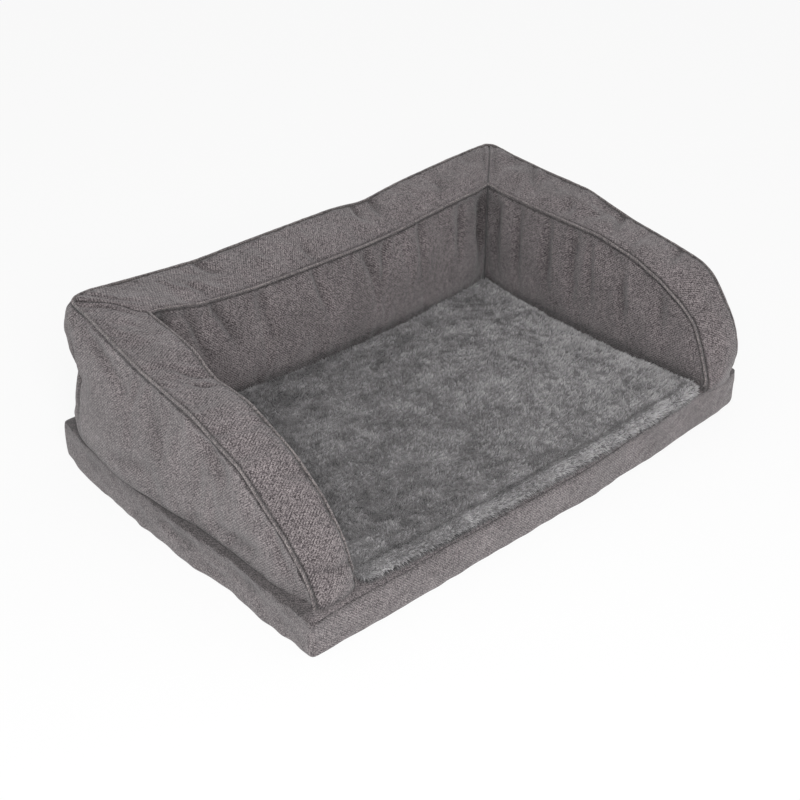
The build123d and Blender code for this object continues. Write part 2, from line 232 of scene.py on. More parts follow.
def at_shares(grid, shares, axis):
    """The grid's lines at these shares of an axis, on Catmull-Rom curves through its points."""
    line = np.moveaxis(grid, axis, 0)
    ends = np.concatenate([2 * line[:1] - line[1:2], line, 2 * line[-1:] - line[-2:-1]])
    place = shares * (len(line) - 1)
    low = np.minimum(place.astype(int), len(line) - 2)
    t = (place - low).reshape(-1, 1, 1)
    a, b, c, d = (ends[low + step] for step in range(4))
    curve = b + t * (c - a + t * (2 * a - 5 * b + 4 * c - d + t * (3 * (b - c) + d - a))) / 2
    return np.moveaxis(curve, 0, axis)


CROWD_SHARE, CROWD_REACH = 0.25, 0.06


def crowded(count, both):
    """Shares from 0 to 1 in count steps that crowd towards 1, or towards both ends: the distance
    from a crowded end is u less (1 - crowd) reach (1 - exp(-u / reach)), u being the even share."""
    u = np.linspace(1, 0, (count // 2 if both else count) + 1)
    far = u - (1 - CROWD_SHARE) * CROWD_REACH * (1 - np.exp(-u / CROWD_REACH))
    half = 1 - far / far[0]
    return np.concatenate([(1 - half[::-1]) / 2, (1 + half[1:]) / 2]) if both else half


def refined(grid, both):
    """A panel's grid with twice the lines, which crowd towards its ends and its one or both seams."""
    rows, columns = 2 * (grid.shape[0] - 1), 2 * (grid.shape[1] - 1)
    return at_shares(at_shares(grid, crowded(rows, True), 0), crowded(columns, both), 1)


def smooth_line(points, count, passes=0):
    """A line through measured points in count equal steps, each point averaged with its
    neighbours a few times, and the ends kept."""
    points = np.array(points, float)
    run = run_along(points)
    steps = np.linspace(0, run[-1], count)
    line = np.stack([np.interp(steps, run, column) for column in points.T], axis=1)
    for _ in range(passes):
        line[1:-1] = (line[:-2] + 2 * line[1:-1] + line[2:]) / 4
    return line


def smoother(loop):
    """A closed line, each of its points averaged with its neighbours."""
    return (np.roll(loop, 1, axis=0) + 2 * loop + np.roll(loop, -1, axis=0)) / 4


def coons(bottom, top, back, front):
    """Patch between four lines: both pairs blended across, less the blend of its four corners."""
    u = np.linspace(0, 1, len(bottom))[:, None, None]
    v = np.linspace(0, 1, len(back))[None, :, None]
    across = (1 - v) * bottom[:, None] + v * top[:, None]
    along = (1 - u) * back[None] + u * front[None]
    corners = (1 - u) * ((1 - v) * bottom[0] + v * top[0]) + u * ((1 - v) * bottom[-1] + v * top[-1])
    return across + along - corners


def ripples(a, b, shortest, longest, count, seed):
    """Uneven cloth: a sum of sine waves of seeded direction, length and phase, about -1 to 1."""
    random = np.random.default_rng(seed)
    total = np.zeros(np.broadcast(a, b).shape)
    for _ in range(count):
        angle, phase = random.uniform(0, 2 * pi, 2)
        wave = 2 * pi / random.uniform(shortest, longest)
        total += np.sin(wave * (a * cos(angle) + b * sin(angle)) + phase)
    return total / np.sqrt(2 * count)


# %% [markdown]
# A bolster's seams are what the eye follows, so they come first. Each arm has an outer and an inner
# seam, which leave the back corner, run forward with a slump and curl down to the deck. The points
# are heights measured along the bed's depth, in millimetres, and the left arm slumps more.

# %% Seams of the U
OUTER_X, INNER_X, INNER_TOE = 431, 352.3, 14
OUTER_Y, INNER_Y = 275.15, 196.15
DECK_Z = 62.6
# Where the seams' back corners lie: x, y, and the heights at the left and the right.
CORNERS = {"outer": (OUTER_X, OUTER_Y, {-1: 280, 1: 288}), "inner": (INNER_X, INNER_Y, {-1: 264, 1: 262})}
ARM_SEAMS = {
    (-1, "outer"): (
        (262, 276), (228, 273), (162, 258), (90, 244), (-30, 233), (-58, 226), (-144, 202),
        (-198, 166), (-239, 139), (-275, 104), (-290, 78), (-294, DECK_Z),
    ),
    (-1, "inner"): (
        (168, 263), (102, 260), (69, 256), (43, 242), (14, 233), (-20, 236), (-65, 237),
        (-120, 222), (-170, 206), (-228, 172), (-269, 128), (-289, 82), (-293, DECK_Z),
    ),
    (1, "outer"): (
        (258, 289), (217, 285), (142, 282), (29, 281), (-5, 273), (-70, 261), (-132, 254), (-186, 247),
        (-218, 241), (-238, 229), (-257, 209), (-268, 194), (-284, 173), (-295, 150), (-303, 124),
        (-304, 108), (-299, 80), (-294, DECK_Z),
    ),
    (1, "inner"): (
        (170, 258), (100, 256), (24, 255), (-56, 255), (-134, 242), (-190, 222), (-235, 198),
        (-265, 174), (-288, 126), (-294, 108), (-303, 78), (-300, DECK_Z),
    ),
}
BACK_SEAMS = {
    "outer": (
        (-408, 285), (-334, 278), (-214, 269), (-96, 271), (63, 272), (129, 265), (215, 277), (336, 286),
        (400, 289),
    ),
    "inner": (
        (-325, 262), (-262, 246), (-157, 237), (-30, 236), (70, 236), (145, 240), (262, 253), (330, 258),
    ),
}
ALONG_ARM, ALONG_BACK, UP, ACROSS = 96, 108, 26, 10
SEAM_POINTS, SEAM_PASSES, FOOT_PASSES = 400, 40, 60
WELT_ABOVE_SEAM, WELT_FADE = 2.5, 40


def below_welt(heights):
    """Seam heights for measured welt heights. At the deck they are the same."""
    return heights - WELT_ABOVE_SEAM * clamp((heights - DECK_Z) / WELT_FADE)


def arm_seam_line(side, which):
    """An arm's seam in space, from the back corner to the foot. The inner seam toes out."""
    x, y, heights = CORNERS[which]
    flat = smooth_line(((y, heights[side]), *ARM_SEAMS[side, which]), SEAM_POINTS, SEAM_PASSES)
    toe = INNER_TOE * (INNER_Y - flat[:, 0]) / (INNER_Y - flat[-1, 0]) * (which == "inner")
    return np.stack([side * (x + toe), flat[:, 0], below_welt(flat[:, 1])], axis=1)


def back_seam_line(which):
    """The back bolster's seam in space, from the left corner to the right one."""
    x, y, heights = CORNERS[which]
    flat = smooth_line(((-x, heights[-1]), *BACK_SEAMS[which], (x, heights[1])), SEAM_POINTS, SEAM_PASSES)
    return np.stack([flat[:, 0], np.full(SEAM_POINTS, y), below_welt(flat[:, 1])], axis=1)


print("seams", {key: len(value) for key, value in ARM_SEAMS.items()})

# %% [markdown]
# Between the seams and the deck lie the panels. An arm's outer and inner panels are cut flat and
# bulge when stuffed, and the gusset is the band between the seams. Each is a patch between four
# lines, laid out here at its sewn edges with a first modest bulge. The deck edge of a panel isn't
# straight below its seam: the stuffing pushes it out over the base.

# %% Panels of the U before stuffing
BOLSTERS = ("left", "back", "right")
OUTER_FOOT = (
    (294, 450), (256, 459), (204, 467), (154, 470), (107, 471), (70, 469), (37, 464), (0, 460), (-40, 453),
    (-91, 447), (-139, 447), (-182, 447), (-218, 445), (-248, 440), (-275, 434), (-294, 430),
)
INNER_FOOT_BULGE, BACK_FOOT_BULGE, OUTER_BACK_BULGE = 7, 22, 20
FIRST_BULGES = {"outer": 3, "inner": 7}
SWELL_UP, SWELL_ARM, SWELL_BACK, SWELL_FOOT = 0.7, 0.4, 0.5, 0.8
TOP_CROWN, FRONT_CROWN, CROWN_FROM, CROWN_FADE = 6, 11, 0.6, 0.3
CORNER_ROUND, CORNER_EAR, EAR_FROM, EAR_FADE = 24, 13, 235, 40
BAND_WAY = (0, -0.6, 1)
# How far the back corners are puffed out at shares of their height, and how far along that fades.
PUFF_HEIGHT_SHARES = (0, 0.15, 0.31, 0.49, 0.65, 0.82, 0.94, 1)
CORNER_PUFFS = (19, 20, 16, 10, 18, 23, 14, 0)
PUFF_SHARE, PUFF_REACH = {-1: 1, 1: 0.8}, 65


def share(count):
    """Even shares from 0 to 1."""
    return np.linspace(0, 1, count + 1)


def corner_puff(side):
    """How far each height of a back corner is pushed out, along x and along y alike."""
    return PUFF_SHARE[side] * np.interp(share(UP), PUFF_HEIGHT_SHARES, CORNER_PUFFS)


def arm_panel(side, which, foot_line):
    """An arm's panel: rows run from the back corner to the foot, where they shrink to a point, and
    columns from deck to seam."""
    top, bottom = (smooth_line(line, ALONG_ARM + 1) for line in (arm_seam_line(side, which), foot_line))
    bottom[0], bottom[-1] = (top[0, 0], top[0, 1], DECK_Z), top[-1]
    puff = corner_puff(side)[:, None] * (which == "outer")
    bottom[0] += puff[0] * (side, 1, 0)
    back = bottom[0] + share(UP)[:, None] * (top[0] - bottom[0])
    patch = coons(bottom, top, back, np.repeat(top[-1:], UP + 1, axis=0))
    rise, run = np.sin(pi * share(UP)) ** SWELL_UP, np.sin(pi * share(ALONG_ARM)) ** SWELL_ARM
    outwards = side if which == "outer" else -side
    patch[..., 0] += outwards * FIRST_BULGES[which] * run[:, None] * rise[None]
    fade = bell((top[0, 1] - top[:, 1]) / PUFF_REACH)[:, None, None]
    patch += fade * (puff - puff[0] * (1 - share(UP)[:, None])) * (side, 1, 0)
    patch[-1] = top[-1]
    return patch, top


def back_panel(which, foot_bulge):
    """The back bolster's panel: rows from the left corner to the right, columns from deck to seam."""
    seam = smooth_line(back_seam_line(which), ALONG_BACK + 1)
    rise, run = share(UP), np.sin(pi * share(ALONG_BACK)) ** SWELL_BACK
    patch = seam[:, None] * np.ones((1, UP + 1, 1))
    patch[..., 2] = DECK_Z + rise * (seam[:, 2:] - DECK_Z)
    outwards = 1 if which == "outer" else -1
    swell = foot_bulge * (1 - rise) ** SWELL_FOOT + FIRST_BULGES[which] * np.sin(pi * rise) ** SWELL_UP
    patch[..., 1] += outwards * run[:, None] * swell
    for side in (-1, 1) if which == "outer" else ():
        fade = bell(np.abs(seam[:, 0] - side * OUTER_X) / PUFF_REACH)[:, None, None]
        patch += fade * corner_puff(side)[:, None] * (side, 1, 0)
    return patch, seam


def ruled(outer, inner, across=ACROSS):
    """Band of straight lines from one line to the other."""
    t = share(across)[None, :, None]
    return (1 - t) * outer[:, None] + t * inner[:, None]


def crowned(outer, inner, crown):
    """Band ruled between two seam lines and crowned along its own normal."""
    band, t = ruled(outer, inner), share(ACROSS)[None, :, None]
    return band + 4 * t * (1 - t) * crown[:, None, None] * facing(band, BAND_WAY)[0]


def rounded_corners(points):
    """Turn the U's square outer back corners round: beyond the corner's start, a point's square
    distance becomes the same round distance. At the seam the corner is tighter, like a dog's ear."""
    radius = CORNER_ROUND - CORNER_EAR * clamp((points[..., 2] - EAR_FROM) / EAR_FADE)
    run = np.maximum(np.abs(points[..., 0]) - OUTER_X + radius, 0)
    depth = np.maximum(points[..., 1] - OUTER_Y + radius, 0)
    ratio = np.maximum(run, depth) / np.maximum(np.hypot(run, depth), 1e-9)
    ratio = np.where((run > 0) & (depth > 0), ratio, 1)
    moved = points.copy()
    moved[..., 0] -= np.sign(points[..., 0]) * run * (1 - ratio)
    moved[..., 1] -= depth * (1 - ratio)
    return moved


grids, facings = {}, {}
for side, name in ((-1, "left"), (1, "right")):
    foot = smooth_line([(side * x, y, DECK_Z) for y, x in OUTER_FOOT], SEAM_POINTS, FOOT_PASSES)
    outer, outer_seam = arm_panel(side, "outer", foot)
    toe_end = (side * (INNER_X + INNER_TOE), ARM_SEAMS[side, "inner"][-1][0], DECK_Z)
    foot = np.linspace((side * INNER_X, INNER_Y, DECK_Z), toe_end, SEAM_POINTS)
    foot[:, 0] -= side * INNER_FOOT_BULGE * np.sin(pi * share(SEAM_POINTS - 1))
    inner, inner_seam = arm_panel(side, "inner", foot)
    crown = TOP_CROWN + (FRONT_CROWN - TOP_CROWN) * clamp((share(ALONG_ARM) - CROWN_FROM) / CROWN_FADE)
    band, strip = crowned(outer_seam, inner_seam, crown), ruled(outer[:, 0], inner[:, 0])
    band[-1, :, 2] = DECK_Z
    strip[-1] = band[-1]
    grids[f"{name}_outer_panel"], grids[f"{name}_inner_panel"] = outer, inner
    grids[f"{name}_gusset"], grids[f"{name}_floor"] = band, strip
    facings[f"{name}_outer_panel"], facings[f"{name}_inner_panel"] = (side, 0, 0), (-side, 0, 0)
outer, outer_seam = back_panel("outer", OUTER_BACK_BULGE)
inner, inner_seam = back_panel("inner", BACK_FOOT_BULGE)
grids["back_outer_panel"], grids["back_inner_panel"] = outer, inner
grids["back_gusset"] = crowned(outer_seam, inner_seam, np.full(ALONG_BACK + 1, float(TOP_CROWN)))
grids["back_floor"] = ruled(outer[:, 0], inner[:, 0])
facings["back_outer_panel"], facings["back_inner_panel"] = (0, 1, 0), (0, -1, 0)
for name in BOLSTERS:
    facings[f"{name}_gusset"], facings[f"{name}_floor"] = BAND_WAY, (0, 0, -1)

# The crown of an arm's mitre end is the back bolster's too, so that the two meet.
for name, end in (("left", 0), ("right", -1)):
    grids[f"{name}_gusset"][0] = grids["back_gusset"][end]
cuts = {name: grid.copy() for name, grid in grids.items()}
grids = {name: rounded_corners(grid) for name, grid in grids.items()}
print("panels", {name: grid.shape[:2] for name, grid in grids.items()})

# %% [markdown]
# Stuffing is done as the real thing: the sewn cover is filled and the cloth stretches. All
# the panels are joined into one closed skin, its seams and deck edges are held, and Blender's cloth
# is blown up from inside for a few frames. The cloth is cut a little larger than its frame, so it
# also creases. How far a point may go is capped.

# %% Stuff the U
STUFF_PRESSURE, CLOTH_EXCESS, STUFF_FRAMES, STUFF_CAP = 2.5, 0.012, 16, 11


def joined(grids, facings):
    """All grids as one skin: points that coincide are one, and every triangle looks outwards. Also
    where each grid's points went, and which point each one of the skin was."""
    points, faces, places, start = [], [], {}, 0
    for name, grid in grids.items():
        _, turned = facing(grid, facings[name])
        points.append(grid.reshape(-1, 3))
        faces.append(grid_faces(*grid.shape[:2], turned) + start)
        places[name] = np.arange(start, start + points[-1].shape[0]).reshape(grid.shape[:2])
        start += len(points[-1])
    points, faces = np.concatenate(points), np.concatenate(faces)
    _, first, index = np.unique(np.round(points, 3), axis=0, return_index=True, return_inverse=True)
    index = index.reshape(-1)
    faces = index[faces]
    real = (faces != np.roll(faces, 1, axis=1)).all(axis=1)
    return points[first], faces[real], {name: index[place] for name, place in places.items()}, first


def stuffed(points, faces, held):
    """Where the skin's points go under pressure with some of them held, each by at most the cap."""
    skin = make_piece("skin", points * MM, faces)
    group = skin.vertex_groups.new(name="sewn")
    group.add(held.tolist(), 1, "REPLACE")
    cloth = skin.modifiers.new("cloth", "CLOTH")
    settings = cloth.settings
    settings.quality, settings.mass = 5, 0.25
    settings.tension_stiffness = settings.compression_stiffness = 20
    settings.shear_stiffness, settings.bending_stiffness = 6, 0.6
    settings.use_pressure, settings.uniform_pressure_force = True, STUFF_PRESSURE
    settings.shrink_min = -CLOTH_EXCESS
    settings.vertex_group_mass = "sewn"
    settings.effector_weights.gravity = 0
    cloth.collision_settings.use_collision = False
    cloth.point_cache.frame_start, cloth.point_cache.frame_end = 1, STUFF_FRAMES
    for frame_number in range(1, STUFF_FRAMES + 1):
        bpy.context.scene.frame_set(frame_number)
    evaluated = skin.evaluated_get(bpy.context.evaluated_depsgraph_get())
    after = np.empty(len(points) * 3, np.float32)
    evaluated.to_mesh().vertices.foreach_get("co", after)
    evaluated.to_mesh_clear()
    bpy.context.scene.frame_set(1)
    mesh = skin.data
    bpy.data.objects.remove(skin)
    bpy.data.meshes.remove(mesh)
    move = after.reshape(-1, 3) / MM - points
    far = np.linalg.norm(move, axis=1, keepdims=True)
    return points + move * STUFF_CAP * np.tanh(far / STUFF_CAP) / np.maximum(far, 1e-9)


points, faces, places, _ = joined(grids, facings)
held = [places["back_inner_panel"][[0, -1]].ravel()]
for name in BOLSTERS:
    held += [places[f"{name}_floor"].ravel(), places[f"{name}_gusset"][:, [0, -1]].ravel()]
after = stuffed(points, faces, np.unique(np.concatenate(held)))
grids = {name: after[place] for name, place in places.items()}
print("stuffed: farthest move", round(float(np.linalg.norm(after - points, axis=1).max()), 1), "mm")

# %% [markdown]
# The particular folds of this bed come after the stuffing: the deep ones where the back meets the
# arms, the uprights along the inner panels and the pinches that the two seams put into the gusset.
# Each is a groove along a line with soft shoulders. Along each seam the stitches draw the cloth in.

# %% Folds and seam puckers
FOLDS = {
    # start, end (along the panel, up from the floor), width, depth, all in millimetres
    "back_inner_panel": (
        (-330, 255, -322, 110, 12, 6), (-245, 248, -208, 162, 9, 3.5), (-290, 250, -262, 150, 9, 3),
        (-150, 232, -140, 150, 11, 2.4), (-48, 242, -30, 160, 9, 3), (60, 236, 78, 165, 9, 3),
        (111, 233, 89, 164, 8, 2.5), (190, 245, 178, 150, 10, 2.6), (341, 250, 330, 100, 13, 3.4),
        (285, 250, 268, 150, 12, 2.6),
    ),
    "right_inner_panel": (
        (172, 250, 160, 110, 13, 3), (113, 240, 105, 119, 10, 3.2), (46, 252, 35, 120, 11, 3.2),
        (-10, 252, -22, 125, 12, 3.2), (-45, 245, -64, 139, 8, 2.6), (-119, 220, -134, 125, 11, 3),
        (-200, 205, -205, 140, 9, 2),
    ),
    "left_inner_panel": (
        (170, 250, 155, 120, 10, 4), (95, 250, 88, 140, 9, 3), (20, 232, 12, 130, 9, 3.6),
        (-70, 230, -90, 130, 9, 3), (-160, 195, -170, 120, 9, 2.4),
    ),
    "left_outer_panel": (
        (262, 240, 250, 90, 12, 4), (238, 262, 120, 205, 12, 2.2), (60, 235, 20, 150, 18, 1.2),
        (150, 90, 40, 120, 16, 2.6), (-90, 85, -190, 100, 14, 2.4), (-60, 215, -120, 170, 12, 1.8),
        (-215, 140, -250, 95, 10, 1.8),
    ),
    "right_outer_panel": (
        (262, 250, 248, 90, 12, 4), (80, 272, 60, 170, 12, 2.4), (-20, 262, -60, 150, 12, 2.4),
        (-150, 230, -160, 120, 12, 2.2), (150, 95, 30, 110, 16, 2.4), (-215, 225, -250, 130, 11, 2.2),
    ),
    "back_outer_panel": (
        (-410, 250, -400, 90, 12, 4), (412, 250, 400, 90, 12, 4), (-250, 262, -220, 140, 13, 2.6),
        (-90, 262, -70, 130, 13, 2.2), (110, 258, 90, 140, 13, 3), (250, 268, 220, 150, 13, 2.4),
        (-300, 92, -120, 105, 16, 2.4), (60, 100, 260, 90, 16, 2.4),
    ),
}
GUSSET_PINCHES = {
    # share along the seam, share across where it starts and ends, width, depth
    "left": (
        (0.02, 0, 1, 7, 2), (0.3, 0.55, 1.05, 11, 3), (0.36, 0.5, 1.05, 9, 2.6),
        (0.55, -0.05, 0.4, 10, 1.8), (0.7, 0.5, 1, 12, 1.6), (0.93, 0.1, 0.9, 8, 2),
    ),
    "back": (
        (0.02, 0, 1, 7, 2), (0.25, 0, 0.55, 12, 2.4), (0.17, 0.6, 1, 10, 2), (0.62, -0.05, 0.5, 8, 3),
        (0.665, -0.05, 0.6, 8, 3), (0.45, 0.5, 1, 12, 1.6), (0.84, 0.4, 1, 11, 1.8), (0.98, 0, 1, 7, 2),
    ),
    "right": (
        (0.02, 0, 1, 7, 2), (0.16, -0.05, 0.6, 9, 2.6), (0.3, 0.4, 1, 11, 1.8), (0.46, -0.05, 0.7, 10, 3),
        (0.53, 0.5, 1.05, 10, 2), (0.64, -0.05, 0.5, 9, 2.4), (0.78, 0.3, 1, 12, 2),
    ),
}
GUSSET_WIDTH, PINCH_LEAN = 79, 6
FOLD_STRENGTH = {"inner_panel": 2.6, "outer_panel": 2.4, "gusset": 2.3}
SHOULDER, SHOULDER_REACH, MITRE_DRAW, MITRE_DRAW_REACH = 2.6, 4.5, 2.2, 3
PUCKER, PUCKER_PITCH, PUCKER_REACH, PUCKER_DRIFT = 0.8, 17, 16, 2.2
# How far from seams and ends the folds and waves, and from ends the shoulders, are full.
SEAM_FADE, END_FADE, SHOULDER_FADE = 6, 8, 4
# Uneven cloth: depth, shortest and longest wave, number of waves, and what is added to the seed.
PANEL_WAVES = ((1.5, 90, 220, 9, 20), (0.7, 28, 70, 14, 40))
# Painted shade: how dark the cloth is painted in creases, in the stitch grooves beside the welts,
# at mitres, near the feet, in inner corners and over the whole inner panels in the well, and how far
# each reaches in mm.
FOLD_SHADE, FOLD_FULL = 0.5, 3.5
STITCH_GROOVE_SHADE, STITCH_PLACE, STITCH_REACH = 1.0, 3.1, 1.7
MITRE_SHADE, MITRE_REACH = 1.0, 2.2
FOOT_SHADE, FOOT_REACH, PAD_EDGE_Z = 0.6, 7, 80
CORNER_SHADE, CORNER_REACH, WELL_SHADE = 0.6, 15, 0.07


def groove(a, b, fold):
    """Depth of a fold at (a, b): a bell across its line with low shoulders, tapered to both ends."""
    start, end, width, depth = np.array(fold[:2], float), np.array(fold[2:4], float), *fold[4:]
    length = np.linalg.norm(end - start)
    along = (end - start) / length
    da, db = a - start[0], b - start[1]
    run = da * along[0] + db * along[1]
    off = (-da * along[1] + db * along[0] + 0.05 * width * np.sin(run / 9)) / width
    taper = 0.35 + 0.65 * np.sin(pi * clamp(run / length))
    beyond = np.maximum(0, np.abs(run - length / 2) - length / 2) / width
    return depth * ((1 - 0.55 * off**2) * bell(off)) * taper * bell(beyond)


def laid_out(name, cut):
    """A panel's flat layout: places along and up it, how far its seams and its mitres are, and its
    folds. A gusset's own width and length are rolled out flat."""
    bolster, kind = name.split("_", 1)
    if kind == "gusset":
        run = run_along(cut[:, 0])[:, None]
        width = np.linalg.norm(np.diff(cut, axis=1), axis=-1).sum(axis=1, keepdims=True)
        t, length = share(cut.shape[1] - 1)[None], run[-1, 0]
        a, b = run + 0 * t, t * width
        reach, behind, ahead = np.minimum(b, width - b), a, length - a
        folds = [
            (place * length, low * GUSSET_WIDTH, place * length + PINCH_LEAN, high * GUSSET_WIDTH, *size)
            for place, low, high, *size in GUSSET_PINCHES[bolster]
        ]
    else:
        a, b, folds = cut[..., 0 if bolster == "back" else 1], cut[..., 2], FOLDS[name]
        reach = run_along(cut.swapaxes(0, 1)[::-1])[::-1].T
        behind, ahead = run_along(cut), run_along(cut[::-1])[::-1]
    return a, b, reach, np.minimum(behind, ahead) if bolster == "back" else behind, folds


def finished(name, grid, cut):
    """A panel's final grid: refined, folded, swollen beside its seams and slightly uneven. Also its
    cut, and its painted shade from 0 to 1, for folds, stitch grooves, mitres, feet and the well."""
    kind = name.split("_", 1)[1]
    grid, cut = (refined(lines, kind == "gusset") for lines in (grid, cut))
    normal, _ = facing(grid, facings[name])
    a, b, reach, ends, folds = laid_out(name, cut)
    push = -sum(groove(a, b, fold) for fold in folds)
    seed = sorted(facings).index(name)
    pucker = np.sin(2 * pi * a / PUCKER_PITCH + PUCKER_DRIFT * ripples(a, b, 60, 160, 5, seed))
    # Painted shade in folds, in the stitch grooves, at the mitres, near the foot and in the well.
    painted_shade = FOLD_SHADE * clamp(-push / FOLD_FULL)
    painted_shade += STITCH_GROOVE_SHADE * bell((reach - STITCH_PLACE) / STITCH_REACH)
    painted_shade += MITRE_SHADE * bell(ends / MITRE_REACH)
    foot = PAD_EDGE_Z if kind == "inner_panel" else DECK_Z
    painted_shade += FOOT_SHADE * np.exp(-(np.maximum(cut[..., 2] - foot, 0) / FOOT_REACH))
    painted_shade += (kind == "inner_panel") * (WELL_SHADE + CORNER_SHADE * np.exp(-ends / CORNER_REACH))
    push = FOLD_STRENGTH[kind] * push + PUCKER * pucker * np.exp(-reach / PUCKER_REACH)
    push += sum(depth * ripples(a, b, *waves, seed + more) for depth, *waves, more in PANEL_WAVES)
    push *= clamp(reach / SEAM_FADE) * clamp(ends / END_FADE)
    shoulder = SHOULDER * reach / SHOULDER_REACH * np.exp(1 - reach / SHOULDER_REACH)
    push += shoulder * clamp(ends / SHOULDER_FADE)
    grid = grid + push[..., None] * normal
    if kind == "gusset":
        grid[..., 2] -= MITRE_DRAW * bell(ends / MITRE_DRAW_REACH) * clamp(reach / SEAM_FADE)
    grid[..., 2] = np.maximum(grid[..., 2], DECK_Z)
    shown_cut = np.stack([b, a] if kind == "gusset" else [a, b], axis=-1)
    return grid, shown_cut * MM, clamp(painted_shade)


panels = {name: finished(name, grids[name], cuts[name]) for name in facings if not name.endswith("floor")}
print("folds", sum(map(len, FOLDS.values())), "pinches", sum(map(len, GUSSET_PINCHES.values())))

# %% [markdown]
# The cover's cloth is a piece-dyed melange of polyester: thick and thin yarns of warm light and dark
# grey in a small twill. The eye sees a salt-and-pepper grain with faint diagonal lines, matt, with
# no gloss. It is drawn on each piece's flat cut, so it runs with the cloth. The real yarns are half
# a millimetre apart, too fine for one pixel, so the pattern is drawn about twice as coarse.

# %% Woven cover cloth
YARN_MM, FLOAT_MM, TWILL_MM, BLOTCH_MM, SLOW_MM = 0.9, 1.9, 2.3, 7, 60
# How much random dye unevenness there is, and how strongly the painted shade darkens the cloth.
UNEVEN_DYE, PAINTED_SHADE_DARK = 0.3, 0.75
# A wave texture of scale s repeats every 0.314 / s.
WAVE_TURN = 0.314


def woven_cloth(name, dark, middle, light, lift=1.0):
    """Matt melange twill: short visible lengths of both yarns, each dyed by chance, a diagonal
    line where they change over, and slow uneven dye."""
    cloth = new_finish(name)
    cut = add_node(cloth, "UVMap", uv_map="cut")
    scale = WAVE_TURN / (TWILL_MM * MM)
    twill = add_node(
        cloth, "TexWave", {"Vector": cut, "Scale": scale, "Distortion": 1.5, "Detail": 1, "Detail Scale": 3},
        out="Fac", bands_direction="DIAGONAL",
    )
    over = add_node(cloth, "MapRange", (twill, 0.4, 0.6))
    dyes, rounds = {0: over}, {0: over}
    for side, bands, width, length in ((2, "X", YARN_MM, FLOAT_MM), (3, "Y", FLOAT_MM, YARN_MM)):
        scale = (1 / (width * MM), 1 / (length * MM), 1)
        cell = add_node(
            cloth, "VectorMath", (add_node(cloth, "Mapping", {"Vector": cut, "Scale": scale}),),
            operation="FLOOR",
        )
        dyes[side] = add_node(cloth, "TexWhiteNoise", {"Vector": cell}, noise_dimensions="2D")
        rounds[side] = add_node(
            cloth, "TexWave", {"Vector": cut, "Scale": WAVE_TURN / (YARN_MM * MM)}, out="Fac",
            bands_direction=bands,
        )
    tone, height = (add_node(cloth, "Mix", sides) for sides in (dyes, rounds))
    blotch, slow = (
        add_node(
            cloth, "TexNoise", noise_dimensions="2D",
            inputs={"Vector": cut, "Scale": 1 / (size * MM), "Detail": detail, "Roughness": rough},
        )
        for size, detail, rough in ((BLOTCH_MM, 4, 0.7), (SLOW_MM, 3, 0.5))
    )
    for uneven in (blotch, twill):
        centred = add_node(cloth, "Math", (uneven, 0.5), operation="SUBTRACT")
        tone = add_node(cloth, "Math", (centred, UNEVEN_DYE, tone), operation="MULTIPLY_ADD")
    shade = add_node(cloth, "ValToRGB", (tone,))
    set_stops(shade, (0.08, dark), (0.92, light), (0.5, middle))
    slow = add_node(cloth, "MapRange", (slow, 0.3, 0.7, 0.88, 1.12))
    # Painted shade: the cloth is darkened by each point's stored shade, from folds, stitch grooves, mitres,
    # feet and corners.
    painted_shade = add_node(cloth, "Attribute", out="Fac", attribute_name="painted_shade")
    unshaded_share = add_node(cloth, "Math", (painted_shade, -PAINTED_SHADE_DARK, 1), operation="MULTIPLY_ADD")
    slow = add_node(cloth, "Math", (slow, unshaded_share), operation="MULTIPLY")
    bump = add_node(cloth, "Bump", {"Height": height, "Strength": 0.45 * lift, "Distance": 0.3 * MM})
    return with_skin(cloth, {
        "Base Color": add_node(cloth, "VectorMath", {0: shade, "Scale": slow}, operation="SCALE"),
        "Roughness": 0.92, "Specular IOR Level": 0.18, "Sheen Weight": 0.25, "Sheen Roughness": 0.6,
        "Normal": bump,
    })


# One finish for each slot.
finishes = {
    "woven_cover": woven_cloth("melange twill cover cloth", "#322c2e", "#615a5c", "#938b8b"),
    "welt_cloth": woven_cloth("melange twill folded welt", "#433d3f", "#6e6768", "#9a9290"),
    "underside_cloth": woven_cloth("close woven lining cloth", "#262627", "#343435", "#454546", 0.5),
    "zip_tape": woven_cloth("woven zip tape", "#2a2829", "#3b393a", "#504d4e", 0.5),
}
print("cloths", [cloth.name for cloth in finishes.values()])

# %% [markdown]
# The panels become pieces of cloth: each grid is a sheet, thickened inwards, on the bed's body. Their
# flat sizes are the cuts, worked out from the flat panels before they were stuffed.

# %% Cover panels
CLOTH_WALL, THIN_WALL = 1.2, 0.8


def placed(piece, slot, node, body="bed"):
    """The piece in its slot's finish, on a body and in place of a node."""
    piece.data.materials.append(finishes[slot])
    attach(piece, body)
    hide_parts(node)
    return piece


def mark_painted_shade(piece, painted_shade):
    """Store each point's painted shade, from 0 to 1, for the cloth's material."""
    layer = piece.data.attributes.new("painted_shade", "FLOAT", "POINT")
    layer.data.foreach_set("value", painted_shade.astype(np.float32))


def cloth_piece(node, grid, cut, outwards, slot, wall=CLOTH_WALL, body="bed", painted_shade=None):
    """A sheet of cloth from a grid, with its wall on the inside."""
    name = f"{node}_cloth"
    points, faces, _, first = joined({name: grid}, {name: outwards})
    piece = make_piece(name, points * MM, faces, cut.reshape(-1, 2)[first])
    if painted_shade is not None:
        mark_painted_shade(piece, painted_shade.reshape(-1)[first])
    thick = piece.modifiers.new("wall", "SOLIDIFY")
    thick.thickness, thick.offset = wall * MM, -1
    return placed(piece, slot, node, body)


for name, (grid, cut, painted_shade) in panels.items():
    piece = cloth_piece(name, grid, cut, facings[name], "woven_cover", painted_shade=painted_shade)

